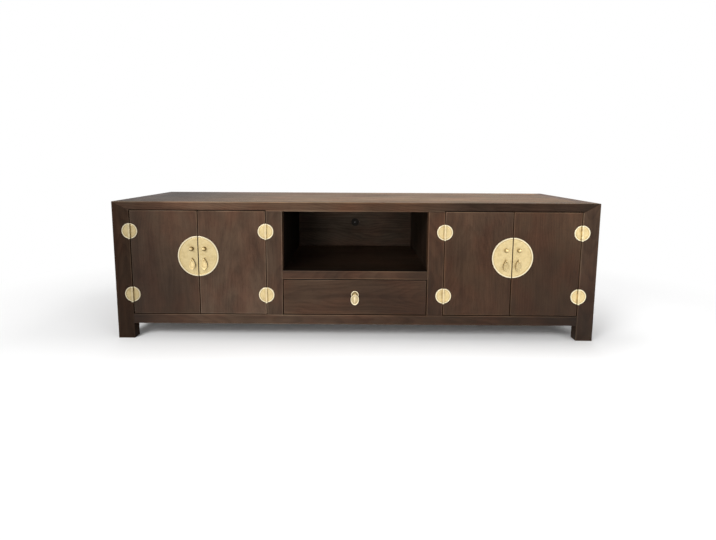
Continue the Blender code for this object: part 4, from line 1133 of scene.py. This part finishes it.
class CABINET_OT_build_stage(Operator):
    """Set up floor, backdrop, lamps, world and camera"""

    bl_idname = "cabinet.build_stage"
    bl_label = "Build stage"

    def execute(self, context):
        stage = context.scene.cabinet_stage
        self.lay_floor(stage)
        lamps = (
            ("key_lamp", (-2.3, -2.6, 2.5), (0.0, 0.0, 0.26), (1.5, 1.1), stage.key, True),
            ("fill_lamp", (2.6, -2.4, 1.7), (0.0, 0.0, 0.26), (2.0, 1.6), stage.fill, True),
            ("low_lamp", (-1.3, -4.0, 0.60), (0.1, 0.2, 0.38), (1.0, 0.8), stage.low, False),
            ("top_lamp", (0.42, 0.0, 1.50), (0.42, 0.0, 0.5), (1.2, 0.5), stage.top, True),
        )
        for lamp in lamps:
            self.hang_lamp(*lamp)
        self.light_world(context.scene, stage)
        self.set_camera(context.scene)
        context.scene.view_settings.view_transform = "Standard"
        return {"FINISHED"}

    def lay_floor(self, stage):
        """A floor that sweeps up into a backdrop. Away from the cabinet the camera sees it as white."""
        front, back, rise, bend, half = -6.0, 3.2, 4.0, 1.2, 8.0
        cabinet_stretch, shadow_end, white_start = 1.6, 0.62, 1.3
        line = [(front, 0.0), *arc((back, bend), bend, -90, 0, 16), (back + bend, rise)]
        bm = bmesh.new()
        points = [bm.verts.new((-half, y, z)) for y, z in line]
        edges = [bm.edges.new(pair) for pair in zip(points, points[1:])]
        swept = bmesh.ops.extrude_edge_only(bm, edges=edges)
        moved = of_kind(swept["geom"], bmesh.types.BMVert)
        bmesh.ops.translate(bm, vec=(2 * half, 0.0, 0.0), verts=moved)
        face_out(bm)
        floor = in_scene("studio_floor", mesh_of(bm, "studio_floor"))
        floor.data.shade_smooth()
        finish = Finish(bpy.data.materials.new("studio_paper"))
        x, y, z = finish.place()
        tooth = finish.noise(finish.point(x, y, z), 40.0, 3.0)
        paper = finish.mix(tooth * 0.06, stage.floor, tinted(stage.floor, 0.96))
        matt = finish.node("ShaderNodeBsdfPrincipled", {}, {
            "Base Color": paper, "Roughness": 0.9, "Specular IOR Level": 0.1})
        white = finish.node("ShaderNodeEmission", {}, {"Color": WHITE, "Strength": 1.0})
        away = (((x / cabinet_stretch) ** 2.0 + y ** 2.0) ** 0.5).most(z * 4.0)
        share = finish.seen() * finish.ease(away, shadow_end, white_start)
        surface = finish.node("ShaderNodeMixShader", {}, {0: share, 1: matt, 2: white})
        finish.node("ShaderNodeOutputMaterial", {}, {"Surface": surface})
        floor.data.materials.append(finish.owner)

    def hang_lamp(self, name, place, target, size, power, glints):
        """A soft box that faces its target and that the camera doesn't see, nor gloss unless it glints."""
        lamp = bpy.data.lights.new(name, "AREA")
        lamp.shape = "RECTANGLE"
        lamp.size, lamp.size_y = size
        lamp.energy = power
        holder = in_scene(name, lamp)
        aim = Vector(target) - Vector(place)
        holder.location = place
        holder.rotation_euler = aim.to_track_quat("-Z", "Y").to_euler()
        holder.visible_camera = False
        holder.visible_glossy = glints

    def light_world(self, scene, stage):
        """Even light from all round, which the camera sees as a white studio."""
        scene.world = bpy.data.worlds.new("studio")
        finish = Finish(scene.world)
        strength = stage.ambient + finish.seen() * (1.0 - stage.ambient)
        glow = finish.node("ShaderNodeBackground", {}, {"Color": WHITE, "Strength": strength})
        finish.node("ShaderNodeOutputWorld", {}, {"Surface": glow})

    def set_camera(self, scene):
        """The photograph's view."""
        yaw, pitch, roll = (math.radians(angle) for angle in (CAMERA_YAW, CAMERA_PITCH, CAMERA_ROLL))
        turn = Matrix.Rotation(yaw, 4, "Z") @ Matrix.Rotation(math.pi / 2 - pitch, 4, "X")
        turn = turn @ Matrix.Rotation(-roll, 4, "Z")
        lens = bpy.data.cameras.new("photo_camera")
        lens.sensor_width = SENSOR_WIDTH
        lens.lens = SENSOR_WIDTH * FOCAL_PIXELS / PHOTO_WIDTH
        lens.shift_x = (PHOTO_WIDTH / 2 - OPTICAL_CENTRE[0]) / PHOTO_WIDTH
        lens.shift_y = (OPTICAL_CENTRE[1] - PHOTO_HEIGHT / 2) / PHOTO_WIDTH
        camera = in_scene("photo_camera", lens)
        camera.matrix_world = Matrix.Translation(CAMERA_PLACE) @ turn
        scene.camera = camera


class CABINET_PT_looks(Panel):
    """The cabinet's pieces and their settings"""

    bl_idname = "CABINET_PT_looks"
    bl_label = "Television cabinet"
    bl_space_type = "VIEW_3D"
    bl_region_type = "UI"
    bl_category = "Cabinet"

    def draw(self, context):
        for operator in OPERATORS:
            self.layout.operator(operator.bl_idname)
        for group_name, group in GROUPS.items():
            box = self.layout.box()
            for setting in group.__annotations__:
                box.prop(getattr(context.scene, group_name), setting)


GROUPS = {"cabinet_wood": WoodSettings, "cabinet_brass": BrassSettings, "cabinet_stage": StageSettings}
OPERATORS = (
    CABINET_OT_build_stage, CABINET_OT_finish_frame, CABINET_OT_finish_fronts, CABINET_OT_finish_inside,
    CABINET_OT_make_lock_plates, CABINET_OT_make_hinges, CABINET_OT_make_door_pulls,
    CABINET_OT_make_drawer_pull,
)


def register():
    for kind in (*GROUPS.values(), *OPERATORS, CABINET_PT_looks):
        bpy.utils.register_class(kind)
    for name, group in GROUPS.items():
        setattr(bpy.types.Scene, name, PointerProperty(type=group))


def unregister():
    for name in GROUPS:
        delattr(bpy.types.Scene, name)
    for kind in reversed((*GROUPS.values(), *OPERATORS, CABINET_PT_looks)):
        bpy.utils.unregister_class(kind)


def main():
    register()
    bpy.ops.cabinet.build_stage()
    bpy.ops.cabinet.finish_frame()
    bpy.ops.cabinet.finish_fronts()
    bpy.ops.cabinet.finish_inside()
    bpy.ops.cabinet.make_lock_plates()
    bpy.ops.cabinet.make_hinges()
    bpy.ops.cabinet.make_door_pulls()
    bpy.ops.cabinet.make_drawer_pull()


if __name__ == "__main__":
    main()
